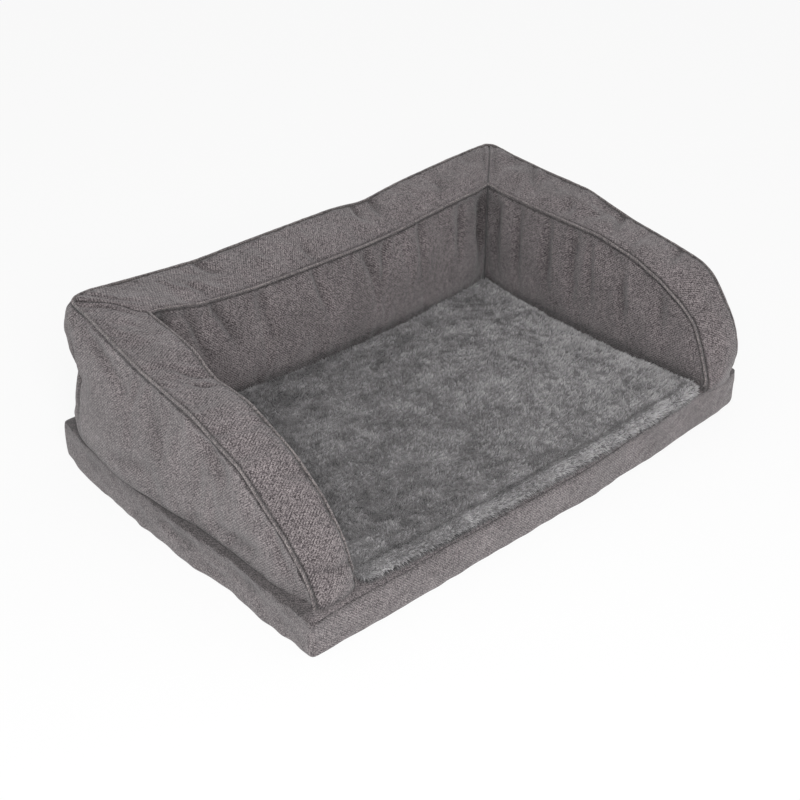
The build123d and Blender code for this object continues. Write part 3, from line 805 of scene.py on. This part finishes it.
# %% [markdown]
# Inside each cover is white polyester fibre. It can't be seen, but it is a piece of its own, so it
# is a closed skin with the mitre ends closed: the cover's own form, shrunk a little towards the
# middle of its foot. To the eye it is a pale, matt and lumpy wad.

# %% Stuffing in the bolsters
MITRE_TURNS = {
    "left": {0: (1, 1, 0)}, "right": {0: (-1, 1, 0)}, "back": {0: (-1, -1, 0), -1: (1, -1, 0)},
}
FOOT_MIDDLES = {"left": (-405, -10, DECK_Z), "back": (0, 235, DECK_Z), "right": (405, -10, DECK_Z)}
ARM_SHRINK, BACK_SHRINK = (0.82, 0.975, 0.942), (0.991, 0.77, 0.948)


def mottled(name, low, high, cell_mm, pattern, detail, spread, lift, depth_mm, surface):
    """A finish with fine cells: the spread of a pattern goes from the low to the high shade, and the
    high one stands out."""
    finish = new_finish(name)
    place = add_node(finish, "TexCoord", out="Object")
    cells = add_node(finish, pattern, {"Vector": place, "Scale": 1 / (cell_mm * MM), "Detail": detail})
    cells = add_node(finish, "MapRange", (cells, *spread))
    shade = add_node(finish, "Mix", {0: cells, 6: colour(low), 7: colour(high)}, 2, data_type="RGBA")
    bump = add_node(finish, "Bump", {"Height": cells, "Strength": lift, "Distance": depth_mm * MM})
    return with_skin(finish, {"Base Color": shade, "Normal": bump, **surface})


def closed_piece(name, grids, facings, slot, node, fill, body="bed"):
    """One closed piece from grids."""
    points, faces, _, _ = joined(grids, facings)
    return placed(make_piece(name, points * MM, faces), slot, node, body)


def bolster_skin(name):
    """A bolster's three panels, with the floor strip and the mitre faces that close them."""
    parts = {f"{name}_{key}": panels[f"{name}_{key}"][0] for key in ("outer_panel", "inner_panel", "gusset")}
    outer, inner, band = parts.values()
    strip = parts[f"{name}_floor"] = ruled(outer[:, 0], inner[:, 0], 2 * ACROSS)
    if name != "back":
        strip[-1] = band[-1]
    ways = {key: facings[key] for key in parts}
    for row, way in MITRE_TURNS[name].items():
        parts[f"mitre {row}"] = coons(strip[row], band[row], outer[row], inner[row])
        ways[f"mitre {row}"] = way
    middle, shrink = np.array(FOOT_MIDDLES[name]), np.array(BACK_SHRINK if name == "back" else ARM_SHRINK)
    return {key: middle + (grid - middle) * shrink for key, grid in parts.items()}, ways


finishes["fibre_filling"] = mottled(
    "white polyester fibre", "#dcdcda", "#f4f4f2", 6, "TexNoise", 5, (0, 1), 0.8, 2,
    {"Roughness": 0.95, "Sheen Weight": 0.3},
)
for name in MITRE_TURNS:
    closed_piece(f"{name}_stuffing", *bolster_skin(name), "fibre_filling", f"{name}_filling", 0.75)
print("stuffing in three bolsters")

# %% [markdown]
# The welts are the same cloth folded over a thin cord and sewn into the seams, so they stand up as
# a round ridge. Each is a bulb-shaped ring carried along its seam. The ring's upright is the
# direction away from both panels, and the two stitched edges sink between them.

# %% Welts
WELT_HALF, WELT_RISE, WELT_SUNK, WELT_SIDES = 2.1, 3.4, 1.5, 16
WELT_FOOT, WELT_SHADE, WELT_UNEVEN = 3, 0.85, 0.07
# How many grid lines from the seam the ways into a panel and a gusset are taken.
INTO_PANEL, INTO_BAND = 7, 5


def seam_edges(name, which):
    """A bolster's seam line, and the direction away from the two smooth panels along it."""
    panel, band = refined(grids[f"{name}_{which}_panel"], False), refined(grids[f"{name}_gusset"], True)
    if which == "inner":
        band = band[:, ::-1]
    line = panel[:, -1]
    return line, -unit(unit(panel[:, -1 - INTO_PANEL] - line) + unit(band[:, INTO_BAND] - line))


def tube_faces(rings, sides):
    """Triangles of a closed tube whose last two points are the centres of its ends."""
    index = np.arange(rings * sides).reshape(rings, sides)
    a, b = index[:-1], index[1:]
    c, d = np.roll(b, -1, axis=1), np.roll(a, -1, axis=1)
    wall = [np.stack(corners, -1).reshape(-1, 3) for corners in ([a, b, c], [a, c, d])]
    start = np.stack([np.roll(index[0], -1), np.full(sides, rings * sides), index[0]], -1)
    end = np.stack([index[-1], np.full(sides, rings * sides + 1), np.roll(index[-1], -1)], -1)
    return np.concatenate([*wall, start, end])


def outward_faces(points, faces):
    """The triangles, turned over if they enclose a negative volume."""
    a, b, c = (points[faces[:, corner]] for corner in range(3))
    return faces if np.einsum("ij,ij->i", a, np.cross(b, c)).sum() > 0 else faces[:, ::-1]


def welt(name, line, away):
    """Bulb-shaped rings along a line: half width times cosine to the side, rise times sine up."""
    ahead = unit(np.gradient(line, axis=0))
    away = unit(away - (away * ahead).sum(axis=1, keepdims=True) * ahead)
    side = np.cross(ahead, away)
    turn = np.linspace(0, 2 * pi, WELT_SIDES, endpoint=False)[None, :, None]
    run = run_along(line)
    uneven = 1 + WELT_UNEVEN * ripples(run, 0 * run, 14, 40, 6, 5)[:, None, None]
    rings = line[:, None] + WELT_HALF * uneven * np.cos(turn) * side[:, None]
    rings += (WELT_SUNK + WELT_RISE * uneven * np.sin(turn)) * away[:, None]
    points = np.concatenate([rings.reshape(-1, 3), line[:1], line[-1:]])
    around = np.linspace(0, 2 * pi * WELT_HALF, WELT_SIDES, endpoint=False)
    cut = np.stack(np.broadcast_arrays(run[:, None], around[None]), axis=-1).reshape(-1, 2)
    cut = np.concatenate([cut, [[run[0], 0], [run[-1], 0]]])
    faces = outward_faces(points, tube_faces(len(line), WELT_SIDES))
    piece = make_piece(f"{name}_cord", points * MM, faces, cut * MM)
    # Painted shade on the welt's lower half, in the stitch grooves beside the panels, and on its ends.
    beside = WELT_SHADE * (1 - clamp(np.sin(turn.ravel())))
    mark_painted_shade(piece, np.append(np.tile(beside, len(line)), [WELT_SHADE, WELT_SHADE]))
    placed(piece, "welt_cloth", name)


for which in ("outer", "inner"):
    lines, aways = ([*parts] for parts in zip(*(seam_edges(name, which) for name in BOLSTERS)))
    lines[0], aways[0] = lines[0][::-1], aways[0][::-1]
    lines[0] = np.concatenate([lines[0][:1] - [0, 0, WELT_FOOT], lines[0]])
    lines[2] = np.concatenate([lines[2], lines[2][-1:] - [0, 0, WELT_FOOT]])
    aways[0], aways[2] = np.concatenate([aways[0][:1], aways[0]]), np.concatenate([aways[2], aways[2][-1:]])
    for left, right in ((0, 1), (1, 2)):
        aways[left][-1] = aways[right][0] = unit(aways[left][-1] + aways[right][0])
    for name, line, away in zip(BOLSTERS, lines, aways):
        welt(f"{name}_{which}_welt", line, away)
print("welts on six seams")

# %% [markdown]
# The base is a low stuffed box under the bolsters. Its outline is four lines that meet in the
# corners. Every wall is a grid of that outline at several heights, fullest at mid height and slightly
# wavy, and the top and bottom are patches between the four walls.

# %% Base cover
BASE_SIDES = {
    "front": (
        (-453, -311), (-302, -314), (-104, -313), (67, -316), (244, -307), (368, -299), (440, -296),
        (463, -291),
    ),
    "right": ((463, -291), (469, -150), (468, 0), (466, 150), (455, 306.5)),
    "back": ((455, 306.5), (300, 307.2), (0, 307.2), (-300, 307.2), (-457, 306.5)),
    "left": (
        (-457, 306.5), (-464, 262), (-470, 151), (-469, 88), (-468, -34), (-456, -120), (-456, -221),
        (-453, -311),
    ),
}
BASE_STEPS = {"front": 220, "right": 150, "back": 220, "left": 150}
BASE_TOP, BASE_BULGE, BASE_ROUND, BASE_UP, BASE_LEAN, BASE_PASSES = 60.0, 3.2, 3, 24, 1.5, 30
# Uneven walls: depth, shortest and longest wave, number of waves, seed.
BASE_WAVES = ((1.8, 90, 240, 9, 71), (0.6, 25, 60, 12, 72))
# The left wall is slack. Its dents: place along y, height, half length, half height, depth.
LEFT_SLACK, LEFT_FROM_X, LEFT_FADE, BACK_FROM_Y = 0.5, 430, 20, 300
LEFT_DENTS = (
    (205, 40, 45, 12, 3.0), (60, 22, 38, 10, 2.0), (-20, 42, 60, 10, 4.0), (-110, 20, 40, 10, 2.2),
    (-165, 42, 50, 11, 4.0), (-262, 24, 30, 12, 2.0),
)
# Painted shade along the base's upper edges, under the pad's rim and the arms' overhang: how dark
# it is, and how far down. The deck's sides beside the arms and the left wall's dents get painted
# shade too.
BASE_EDGE_SHADE = {"front": (0.75, 4), "left": (0.6, 9), "right": (0.5, 6), "back": (0.4, 6)}
DENT_SHADE, DECK_SIDE_SHADE, DECK_SIDE_X = 0.12, 0.7, 428
BOX_FACES = {
    "front": (0, -1, 0), "right": (1, 0, 0), "back": (0, 1, 0), "left": (-1, 0, 0),
    "top": (0, 0, 1), "bottom": (0, 0, -1),
}
BASE_NODES = {
    "front": "base_front_band", "left": "base_left_band", "right": "base_right_band",
    "back": "base_back_band", "top": "deck_panel", "bottom": "base_bottom_panel",
}
ZIP_HALF, ZIP_LOW, ZIP_HIGH, ZIP_RECESS, RECESS_EDGE = 370, 20, 46, 2.6, 2.5
# A wall's cloth is this much longer than the wall is high, for its bulge.
BULGE_LENGTH = 6


def loop_normals(loop):
    """Unit normals of a closed plan outline that runs anticlockwise: its direction turned right."""
    ahead = unit(np.roll(loop, -1, axis=0) - np.roll(loop, 1, axis=0))
    return np.stack([ahead[:, 1], -ahead[:, 0]], axis=1)


def box_grids(loop, steps, heights, outs, rise=0.0, blend=14.0):
    """Four walls, top and bottom of a form with this outline. outs gives how far each level stands
    out, as one number or one per outline point. The top rises towards its middle."""
    normal = loop_normals(loop)
    levels = [
        np.column_stack([loop + normal * np.reshape(out, (-1, 1)), np.full(len(loop), height)])
        for height, out in zip(heights, outs)
    ]
    walls = np.stack(levels, axis=1)
    walls = np.concatenate([walls, walls[:1]])
    grids, start = {}, 0
    for name, count in steps.items():
        grids[name] = walls[start:start + count + 1]
        start += count
    for name, level in (("top", -1), ("bottom", 0)):
        grids[name] = coons(
            grids["front"][:, level], grids["back"][::-1, level],
            grids["left"][::-1, level], grids["right"][:, level],
        )
    top = grids["top"]
    u, v = np.meshgrid(*(np.linspace(0, 1, size) for size in top.shape[:2]), indexing="ij")
    wide, deep = np.ptp(loop, axis=0)
    inside = np.minimum(np.minimum(u, 1 - u) * wide, np.minimum(v, 1 - v) * deep)
    top[..., 2] += rise * (1 - np.exp(-inside / blend))
    return grids


def dents(y, z):
    """Each dent of the left wall at (y, z): its depth times a bell both ways."""
    for place, height, half_length, half_height, depth in LEFT_DENTS:
        yield depth * np.exp(-(((y - place) / half_length) ** 2 + ((z - height) / half_height) ** 2))


base_outline = np.concatenate(
    [smooth_line(line, BASE_STEPS[name] + 1, BASE_PASSES)[:-1] for name, line in BASE_SIDES.items()]
)
for _ in range(BASE_ROUND):
    base_outline = smoother(base_outline)
base_run = run_along(base_outline)
at_back = (base_outline[:, 1] > BACK_FROM_Y).astype(float)
at_left = clamp((-base_outline[:, 0] - LEFT_FROM_X) / LEFT_FADE)


def base_out(level, height):
    """How far the wall stands out at a height: the bulge, the waves, the dents of the slack left
    wall, and the recess for the zip."""
    wave = sum(depth * ripples(base_run, 2 * height + 0 * base_run, *waves) for depth, *waves in BASE_WAVES)
    wave *= 1 + LEFT_SLACK * at_left
    for dent in dents(base_outline[:, 1], height):
        wave -= dent * at_left
    inside = clamp((height - ZIP_LOW) / RECESS_EDGE + 0.5) * clamp((ZIP_HIGH - height) / RECESS_EDGE + 0.5)
    inside = inside * clamp((ZIP_HALF - np.abs(base_outline[:, 0])) / 4 + 0.5) * at_back
    bulge = BASE_BULGE * np.sin(pi * level) ** 0.6 - BASE_LEAN * level
    return bulge + wave * (1 - at_back) - ZIP_RECESS * inside


base_levels = share(BASE_UP)
base_heights = BASE_TOP * (1 - np.cos(pi * base_levels)) / 2
base_grids = box_grids(
    base_outline, BASE_STEPS, base_heights, list(map(base_out, base_levels, base_heights)), rise=1.9
)
for name, node in BASE_NODES.items():
    grid, more = base_grids[name], 0
    if name in ("top", "bottom"):
        cut = grid[..., :2] * MM
        # Painted shade on the strips outside the arms' feet, fading out at the front.
        painted_shade = DECK_SIDE_SHADE * clamp((np.abs(grid[..., 0]) - DECK_SIDE_X) / 15)
        painted_shade *= clamp((grid[..., 1] + 305) / 20)
    else:
        cut = np.stack(np.broadcast_arrays(run_along(grid[:, 0])[:, None], base_heights[None]), axis=-1) * MM
        # Painted shade, darkest at the wall's upper edge.
        dark, reach = BASE_EDGE_SHADE[name]
        painted_shade, more = dark * np.exp((grid[..., 2] - BASE_TOP) / reach), BULGE_LENGTH
    if name == "left":
        # Painted shade in the left wall's dents.
        painted_shade = painted_shade + DENT_SHADE * sum(dents(grid[..., 1], grid[..., 2]))
    slot = "underside_cloth" if name == "bottom" else "woven_cover"
    piece = cloth_piece(node, grid, cut, BOX_FACES[name], slot, THIN_WALL, painted_shade=painted_shade)

# %% [markdown]
# Two foam slabs fill the base: a firm one below and a soft, slow one on top, which is what makes a
# bed orthopedic. Cut foam is pale, matt and full of fine open cells, and the darker shade in the
# cells is painted shade in the pores.

# %% Foam slabs
FOAM_INSET, FOAM_LEVELS = 3.4, 9
FOAMS = {
    # from and to height, finish, shade of the pores (painted shade) and of the skin, size of a cell in
    # millimetres
    "support_foam": (1.6, 40, "firm open-cell polyurethane foam", "#bcb18f", "#e0d8bd", 1.2),
    "memory_foam": (40.2, 59, "soft slow-recovery polyurethane foam", "#cfc7ac", "#ece6d2", 0.7),
}
for node, (low, high, *looks) in FOAMS.items():
    finishes[node] = mottled(*looks, "TexVoronoi", 0, (0.1, 0.5), 0.5, 0.4, {"Roughness": 0.9})
    levels = np.linspace(low, high, FOAM_LEVELS)
    outs = [base_out(np.arccos(1 - 2 * level / BASE_TOP) / pi, level) - FOAM_INSET for level in levels]
    closed_piece(f"{node}_slab", box_grids(base_outline, BASE_STEPS, levels, outs), BOX_FACES, node, node, 1)
print("two foam slabs")

# %% [markdown]
# The plush pad is short polyester pile on a knitted ground, brushed from the back to the front, so it
# shows light and dark streaks where the pile leans differently, partly painted light and shade in the
# pile's colour, and a fuzzy rolled edge with a painted highlight.
# The body is a low rounded form in the space of the solid. The pile stands on it as small
# spikes, gathered into tufts.

# %% Pad body
PAD_FRONT, PAD_MIDDLE, PAD_BACK, PAD_FRONT_X = -299, -54.25, 190.5, 357.5
PAD_CORNERS = ((-PAD_FRONT_X, PAD_FRONT), (PAD_FRONT_X, PAD_FRONT), (347, PAD_BACK), (-347, PAD_BACK))
PAD_MIDDLES = ((0, -309), (333, PAD_MIDDLE), (0, 158), (-333, PAD_MIDDLE))
PAD_STEPS = {"front": 180, "right": 124, "back": 180, "left": 124}
PAD_LOW, PAD_RISE, PAD_BLEND, PAD_UNEVEN = 62.6, 2.2, 22.0, 1.1
# The outline's corners are averaged so many times in front, up to this y, and at the back.
FRONT_PASSES, FRONT_TO_Y, BACK_PASSES = 30, -240, 6
ROLL_BEHIND, ROLL_WIDTH, ROLL_RISE = 8, 8, 4.5
TROUGH_BEHIND, TROUGH_WIDTH, TROUGH_DEPTH = 22, 8, 0.8
# How far each level stands out, and its height.
PAD_LEVELS = ((-5, PAD_LOW), (-1, 64.5), (0.6, 68), (0.6, 71), (-0.6, 73.8), (-3, 76), (-6.5, 77.5))
# The top's unevenness: depth, shortest and longest wave, number of waves, seed.
PAD_WAVES = ((0.9, 60, 170, 12, 82), (0.5, 16, 40, 24, 83))


def bow(start, middle, end, count):
    """A parabola through three points, in count even shares."""
    t = share(count)[:, None]
    start, middle, end = (np.array(point, float) for point in (start, middle, end))
    return start * (1 - t) * (1 - 2 * t) + middle * 4 * t * (1 - t) + end * t * (2 * t - 1)


pad_lines = zip(PAD_CORNERS, PAD_MIDDLES, PAD_CORNERS[1:] + PAD_CORNERS[:1], PAD_STEPS.values())
pad_outline = np.concatenate([bow(*line)[:-1] for line in pad_lines])
for step in range(FRONT_PASSES):
    softer = (pad_outline[:, 1:] < FRONT_TO_Y) | (step < BACK_PASSES)
    pad_outline = np.where(softer, smoother(pad_outline), pad_outline)
pad_run = run_along(pad_outline)
pad_uneven = PAD_UNEVEN * ripples(pad_run, 0 * pad_run, 40, 130, 9, 81)
pad_grids = box_grids(
    pad_outline, PAD_STEPS, [height for _, height in PAD_LEVELS], [out + pad_uneven for out, _ in PAD_LEVELS],
    PAD_RISE, PAD_BLEND,
)
top = pad_grids["top"]
rows, columns = (np.minimum(np.arange(size), np.arange(size)[::-1]) for size in top.shape[:2])
fade = clamp(np.minimum(rows[:, None], columns[None]) / 8)
for depth, *waves in PAD_WAVES:
    top[..., 2] += fade * depth * ripples(top[..., 0], top[..., 1], *waves)


def behind_front(points):
    """How far points lie behind the pad's front edge, in millimetres."""
    line = pad_grids["front"][:, 3]
    return points[..., 1] - np.interp(points[..., 0], line[:, 0], line[:, 1])


roll = ROLL_RISE * bell((behind_front(top) - ROLL_BEHIND) / ROLL_WIDTH)
roll -= TROUGH_DEPTH * bell((behind_front(top) - TROUGH_BEHIND) / TROUGH_WIDTH)
roll *= 1 + 0.25 * ripples(top[..., 0], 0 * top[..., 0], 30, 90, 9, 87)
top[..., 2] += roll * clamp(columns[None] / 3)
print("pad body", {name: grid.shape[:2] for name, grid in pad_grids.items()})

# %% Pile of the pad
PILE_COUNT, PILE_LENGTH, PILE_HALF_WIDTH, PILE_ROOT = 140000, 7.5, 0.75, 0.8
TUFT_SIZE, TUFT_PULL, TUFT_CELLS, TUFT_WARP = 5.2, 0.6, 240, 3.2
# How deep the rim reaches, and the painted highlight on it.
RIM_DEPTH, RIM_PAINTED_LIGHT = 18, 0.4
# Painted shade behind the roll, below the rim and towards the back under the back bolster; darker
# in one patch near the left arm's foot. Painted light at the right, where the brushed pile lies over.
TROUGH_SHADE, UNDER_RIM_SHADE, UNDER_Z, RIGHT_PAINTED_LIGHT, BACK_SHADE = 0.12, 1.2, 71, 0.4, 0.4
DARK_PATCH = (-237, -173, 80, 0.3)


def scattered(grid_list, count, random):
    """Random points on grids, spread by area, and the way each one's quad faces."""
    quads = np.concatenate([
        np.stack([grid[:-1, :-1], grid[1:, :-1], grid[1:, 1:], grid[:-1, 1:]], axis=2).reshape(-1, 4, 3)
        for grid in grid_list
    ])
    normal = np.cross(quads[:, 2] - quads[:, 0], quads[:, 3] - quads[:, 1])
    area = np.linalg.norm(normal, axis=1)
    chosen = random.choice(len(quads), count, p=area / area.sum())
    s, t = random.uniform(0, 1, (2, count, 1))
    quad, away = quads[chosen], unit(normal)[chosen]
    centre = np.array([0, PAD_MIDDLE, PAD_LOW + 6])
    away = np.where(away[:, 2:] < -0.3, -away, away)
    away = np.where(((quad[:, 0] - centre) * away).sum(axis=1, keepdims=True) < 0, -away, away)
    shares = ((1 - s) * (1 - t), s * (1 - t), s * t, (1 - s) * t)
    return sum(part * quad[:, corner] for corner, part in enumerate(shares)), away


def spikes(grid_list, count, seed):
    """Closed three-sided spikes on grids: rooted at random points by area, leaning the brushed way,
    with tips drawn towards the middle of their tuft. Also each point's tone, random and with painted
    light and shade, and its height."""
    random = np.random.default_rng(seed)
    root, away = scattered(grid_list, count, random)
    x, y, z = root.T
    heading = -pi / 2 + 1.1 * ripples(x, y, 50, 160, 10, 84) + 0.8 * ripples(x, y, 14, 36, 16, 85)
    flat = clamp(away[:, 2:])
    rim = clamp(1 - behind_front(root) / RIM_DEPTH)[:, None]
    brushed = np.stack([np.cos(heading), np.sin(heading), 0 * heading], axis=1)
    lean = 0.5 + 0.35 * ripples(x, y, 24, 90, 12, 86)[:, None]
    stray = random.normal(0, 1, (count, 3)) * (0.16 + 0.14 * rim)
    way = unit(away * 0.9 + brushed * lean * (0.25 + 0.75 * flat) + stray)
    length = PILE_LENGTH * random.uniform(0.6, 1.15, (count, 1)) * (1 + 0.2 * rim)
    tip = root + way * length
    warp = TUFT_WARP * np.stack([ripples(x, y, 9, 24, 12, wave_seed) for wave_seed in (88, 89)], axis=1)
    cell = np.floor((root[:, :2] + warp) / TUFT_SIZE).astype(int) + TUFT_CELLS // 2
    middles = random.uniform(0.15, 0.85, (TUFT_CELLS, TUFT_CELLS, 2))
    target = (cell - TUFT_CELLS // 2 + middles[cell[:, 0], cell[:, 1]]) * TUFT_SIZE - warp
    target += way[:, :2] * length * 0.8
    tip[:, :2] += (target - tip[:, :2]) * TUFT_PULL * flat
    turn = random.uniform(0, 2 * pi, (count, 1)) + np.array([[0, 2 * pi / 3, 4 * pi / 3]])
    one = unit(np.cross(away, random.normal(0, 1, (count, 3))))
    two = np.cross(away, one)
    base = root[:, None] - PILE_ROOT * away[:, None] + PILE_HALF_WIDTH * (
        np.cos(turn)[..., None] * one[:, None] + np.sin(turn)[..., None] * two[:, None]
    )
    points = np.concatenate([base, tip[:, None]], axis=1).reshape(-1, 3)
    start = 4 * np.arange(count)[:, None, None]
    faces = (start + np.array([[0, 1, 3], [1, 2, 3], [2, 0, 3], [2, 1, 0]])[None]).reshape(-1, 3)
    tuft = random.uniform(0, 1, (TUFT_CELLS, TUFT_CELLS))[cell[:, 0], cell[:, 1]]
    # Random and tuft tone, with a painted highlight on the rolled rim.
    tone_and_painted_light = 0.45 * random.uniform(0, 1, count) + 0.55 * tuft + RIM_PAINTED_LIGHT * rim[:, 0]
    patch_x, patch_y, reach, dark = DARK_PATCH
    tone_and_painted_light -= dark * np.exp(-(((x - patch_x) ** 2 + (y - patch_y) ** 2) / reach**2))
    # Painted shade behind the roll and under the rim, painted light at the right, painted shade towards the
    # back.
    tone_and_painted_light -= TROUGH_SHADE * bell((behind_front(root) - TROUGH_BEHIND) / TROUGH_WIDTH)
    tone_and_painted_light -= UNDER_RIM_SHADE * clamp((UNDER_Z - z) / 5)
    tone_and_painted_light += RIGHT_PAINTED_LIGHT * np.clip(x / PAD_FRONT_X, -0.2, 1)
    tone_and_painted_light -= BACK_SHADE * clamp((y - PAD_MIDDLE) / (PAD_BACK - PAD_MIDDLE))
    return points, faces, np.stack([np.repeat(tone_and_painted_light, 4), np.tile([0.0, 0.0, 0.0, 1.0], count)], axis=1)


def pile_cloth(name, root, middle, tip):
    """Brushed plush: painted shade at the fibres' roots, painted light at their tips, and patches of painted
    light and shade where it lies aslant.
    """
    pile = new_finish(name)
    cut = add_node(pile, "UVMap", uv_map="cut")
    tone_and_painted_light, height = add_node(pile, "SeparateXYZ", (cut,)).node.outputs[:2]
    place = add_node(pile, "TexCoord", out="Object")
    scale = 1 / (32 * MM)
    # Slow noise patches of painted light and shade, for pile that lies aslant.
    patch = add_node(pile, "TexNoise", {"Vector": place, "Scale": scale, "Detail": 4, "Roughness": 0.6})
    patch = add_node(pile, "Math", (patch, 0.5), operation="SUBTRACT")
    # Painted shade at the spikes' roots and painted light at their tips, from their height.
    tone = add_node(pile, "Math", (height, 0.8), operation="MULTIPLY")
    for part, weight in ((tone_and_painted_light, 0.6), (patch, 1.15)):
        tone = add_node(pile, "Math", (part, weight, tone), operation="MULTIPLY_ADD")
    shade = add_node(pile, "ValToRGB", (add_node(pile, "Math", (tone, 0.75), operation="MULTIPLY"),))
    set_stops(shade, (0, root), (1, tip), (0.45, middle))
    return with_skin(pile, {
        "Base Color": shade, "Roughness": 0.85, "Specular IOR Level": 0.2, "Sheen Weight": 0.35,
        "Sheen Roughness": 0.45,
    })


finishes["plush"] = pile_cloth("brushed blue-grey plush pile", "#232223", "#7a7879", "#cecccd")
shown = {name: pad_grids[name] for name in ("front", "right", "back", "left", "top")}
skin_points, skin_faces, _, _ = joined(shown, BOX_FACES)
pile_points, pile_faces, pile_cut = spikes(list(shown.values()), PILE_COUNT, 90)
plush = make_piece(
    "pad_plush_pile",
    np.concatenate([skin_points, pile_points]) * MM,
    np.concatenate([skin_faces, pile_faces + len(skin_points)]),
    np.concatenate([np.tile([0.5, 0.25], (len(skin_points), 1)), pile_cut]),
)
placed(plush, "plush", "pad_plush", "pad")
bottom = pad_grids["bottom"]
underside = cloth_piece(
    "pad_underside", bottom, bottom[..., :2] * MM, BOX_FACES["bottom"], "underside_cloth", THIN_WALL, "pad"
)
core = box_grids(
    pad_outline - 6 * loop_normals(pad_outline), PAD_STEPS, np.linspace(64, 74, 4), [-1, 0, 0, -2]
)
closed_piece("pad_stuffing", core, BOX_FACES, "fibre_filling", "pad_filling", 0.4, "pad")
print("pile", len(pile_faces), "triangles")

# %% [markdown]
# The zip at the back lets the foam out. Its two tapes are flat woven bands, and its chain is a
# moulded nylon coil, drawn as a row of rounded teeth, one every two millimetres, dark with a dull
# shine. The slider, its pull and the stops are small die castings with a dark coat, and they keep
# the frame's shapes.

# %% Zip
TAPE_Y, TAPE_HALF, TAPE_HIGH, TAPE_WALL, ZIP_Z = 309.0, 370, 12.9, 0.7, 33
CHAIN_Y, CHAIN_HALF, TOOTH_PITCH, TOOTH_SIDES = 310.0, 365.5, 1.9, 6
TOOTH_HALF, TOOTH_WIDE, TOOTH_STAGGER = 2.05, 0.8, 0.35
# A tooth's rings: share of its half height, share of its width.
TOOTH_RINGS = np.array([(-1, 0.45), (-0.75, 0.9), (0, 1), (0.75, 0.9), (1, 0.45)])

tape_x, tape_z = np.meshgrid(
    np.linspace(-TAPE_HALF, TAPE_HALF, 149), np.linspace(-TAPE_HIGH, TAPE_HIGH, 9), indexing="ij"
)
tape_grid = np.stack([tape_x, np.full(tape_x.shape, TAPE_Y), tape_z + ZIP_Z], axis=-1)
tapes = cloth_piece("zip_tapes", tape_grid, tape_grid[..., [0, 2]] * MM, (0, 1, 0), "zip_tape", TAPE_WALL)

tooth_x = np.arange(-CHAIN_HALF, CHAIN_HALF, TOOTH_PITCH)[:, None, None]
stagger = np.where(np.arange(len(tooth_x)) % 2 == 0, TOOTH_STAGGER, -TOOTH_STAGGER)[:, None, None]
turn = np.linspace(0, 2 * pi, TOOTH_SIDES, endpoint=False)
tooth_up, tooth_fat = TOOTH_RINGS.T[:, None, :, None]
rings = np.stack(
    np.broadcast_arrays(
        tooth_x + TOOTH_WIDE * tooth_fat * np.cos(turn),
        CHAIN_Y + TOOTH_WIDE * tooth_fat * np.sin(turn),
        ZIP_Z + stagger + TOOTH_HALF * tooth_up + 0 * turn,
    ),
    axis=-1,
)
ends = np.stack([rings[:, 0].mean(axis=1), rings[:, -1].mean(axis=1)], axis=1)
teeth = np.concatenate([rings.reshape(len(tooth_x), -1, 3), ends], axis=1)
one_tooth = outward_faces(teeth[0], tube_faces(len(TOOTH_RINGS), TOOTH_SIDES))
teeth_faces = (np.arange(len(tooth_x))[:, None, None] * teeth.shape[1] + one_tooth).reshape(-1, 3)
finishes["zip_coil"] = with_skin(
    new_finish("moulded dark nylon coil"), {"Base Color": colour("#2e2d2e"), "Roughness": 0.42, "IOR": 1.53}
)
placed(make_piece("zip_chain_teeth", teeth.reshape(-1, 3) * MM, teeth_faces), "zip_coil", "zip_chain")

casting = mottled(
    "dark coated zinc die casting", "#3c3c3f", "#57575b", 1.5, "TexNoise", 3, (0, 1), 0.15, 0.1,
    {"Metallic": 0.85, "Roughness": 0.38},
)
for node in ("zip_stops", "zip_slider", "zip_pull"):
    for slot_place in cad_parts[node].material_slots:
        slot_place.material = casting
print("zip teeth", len(tooth_x))
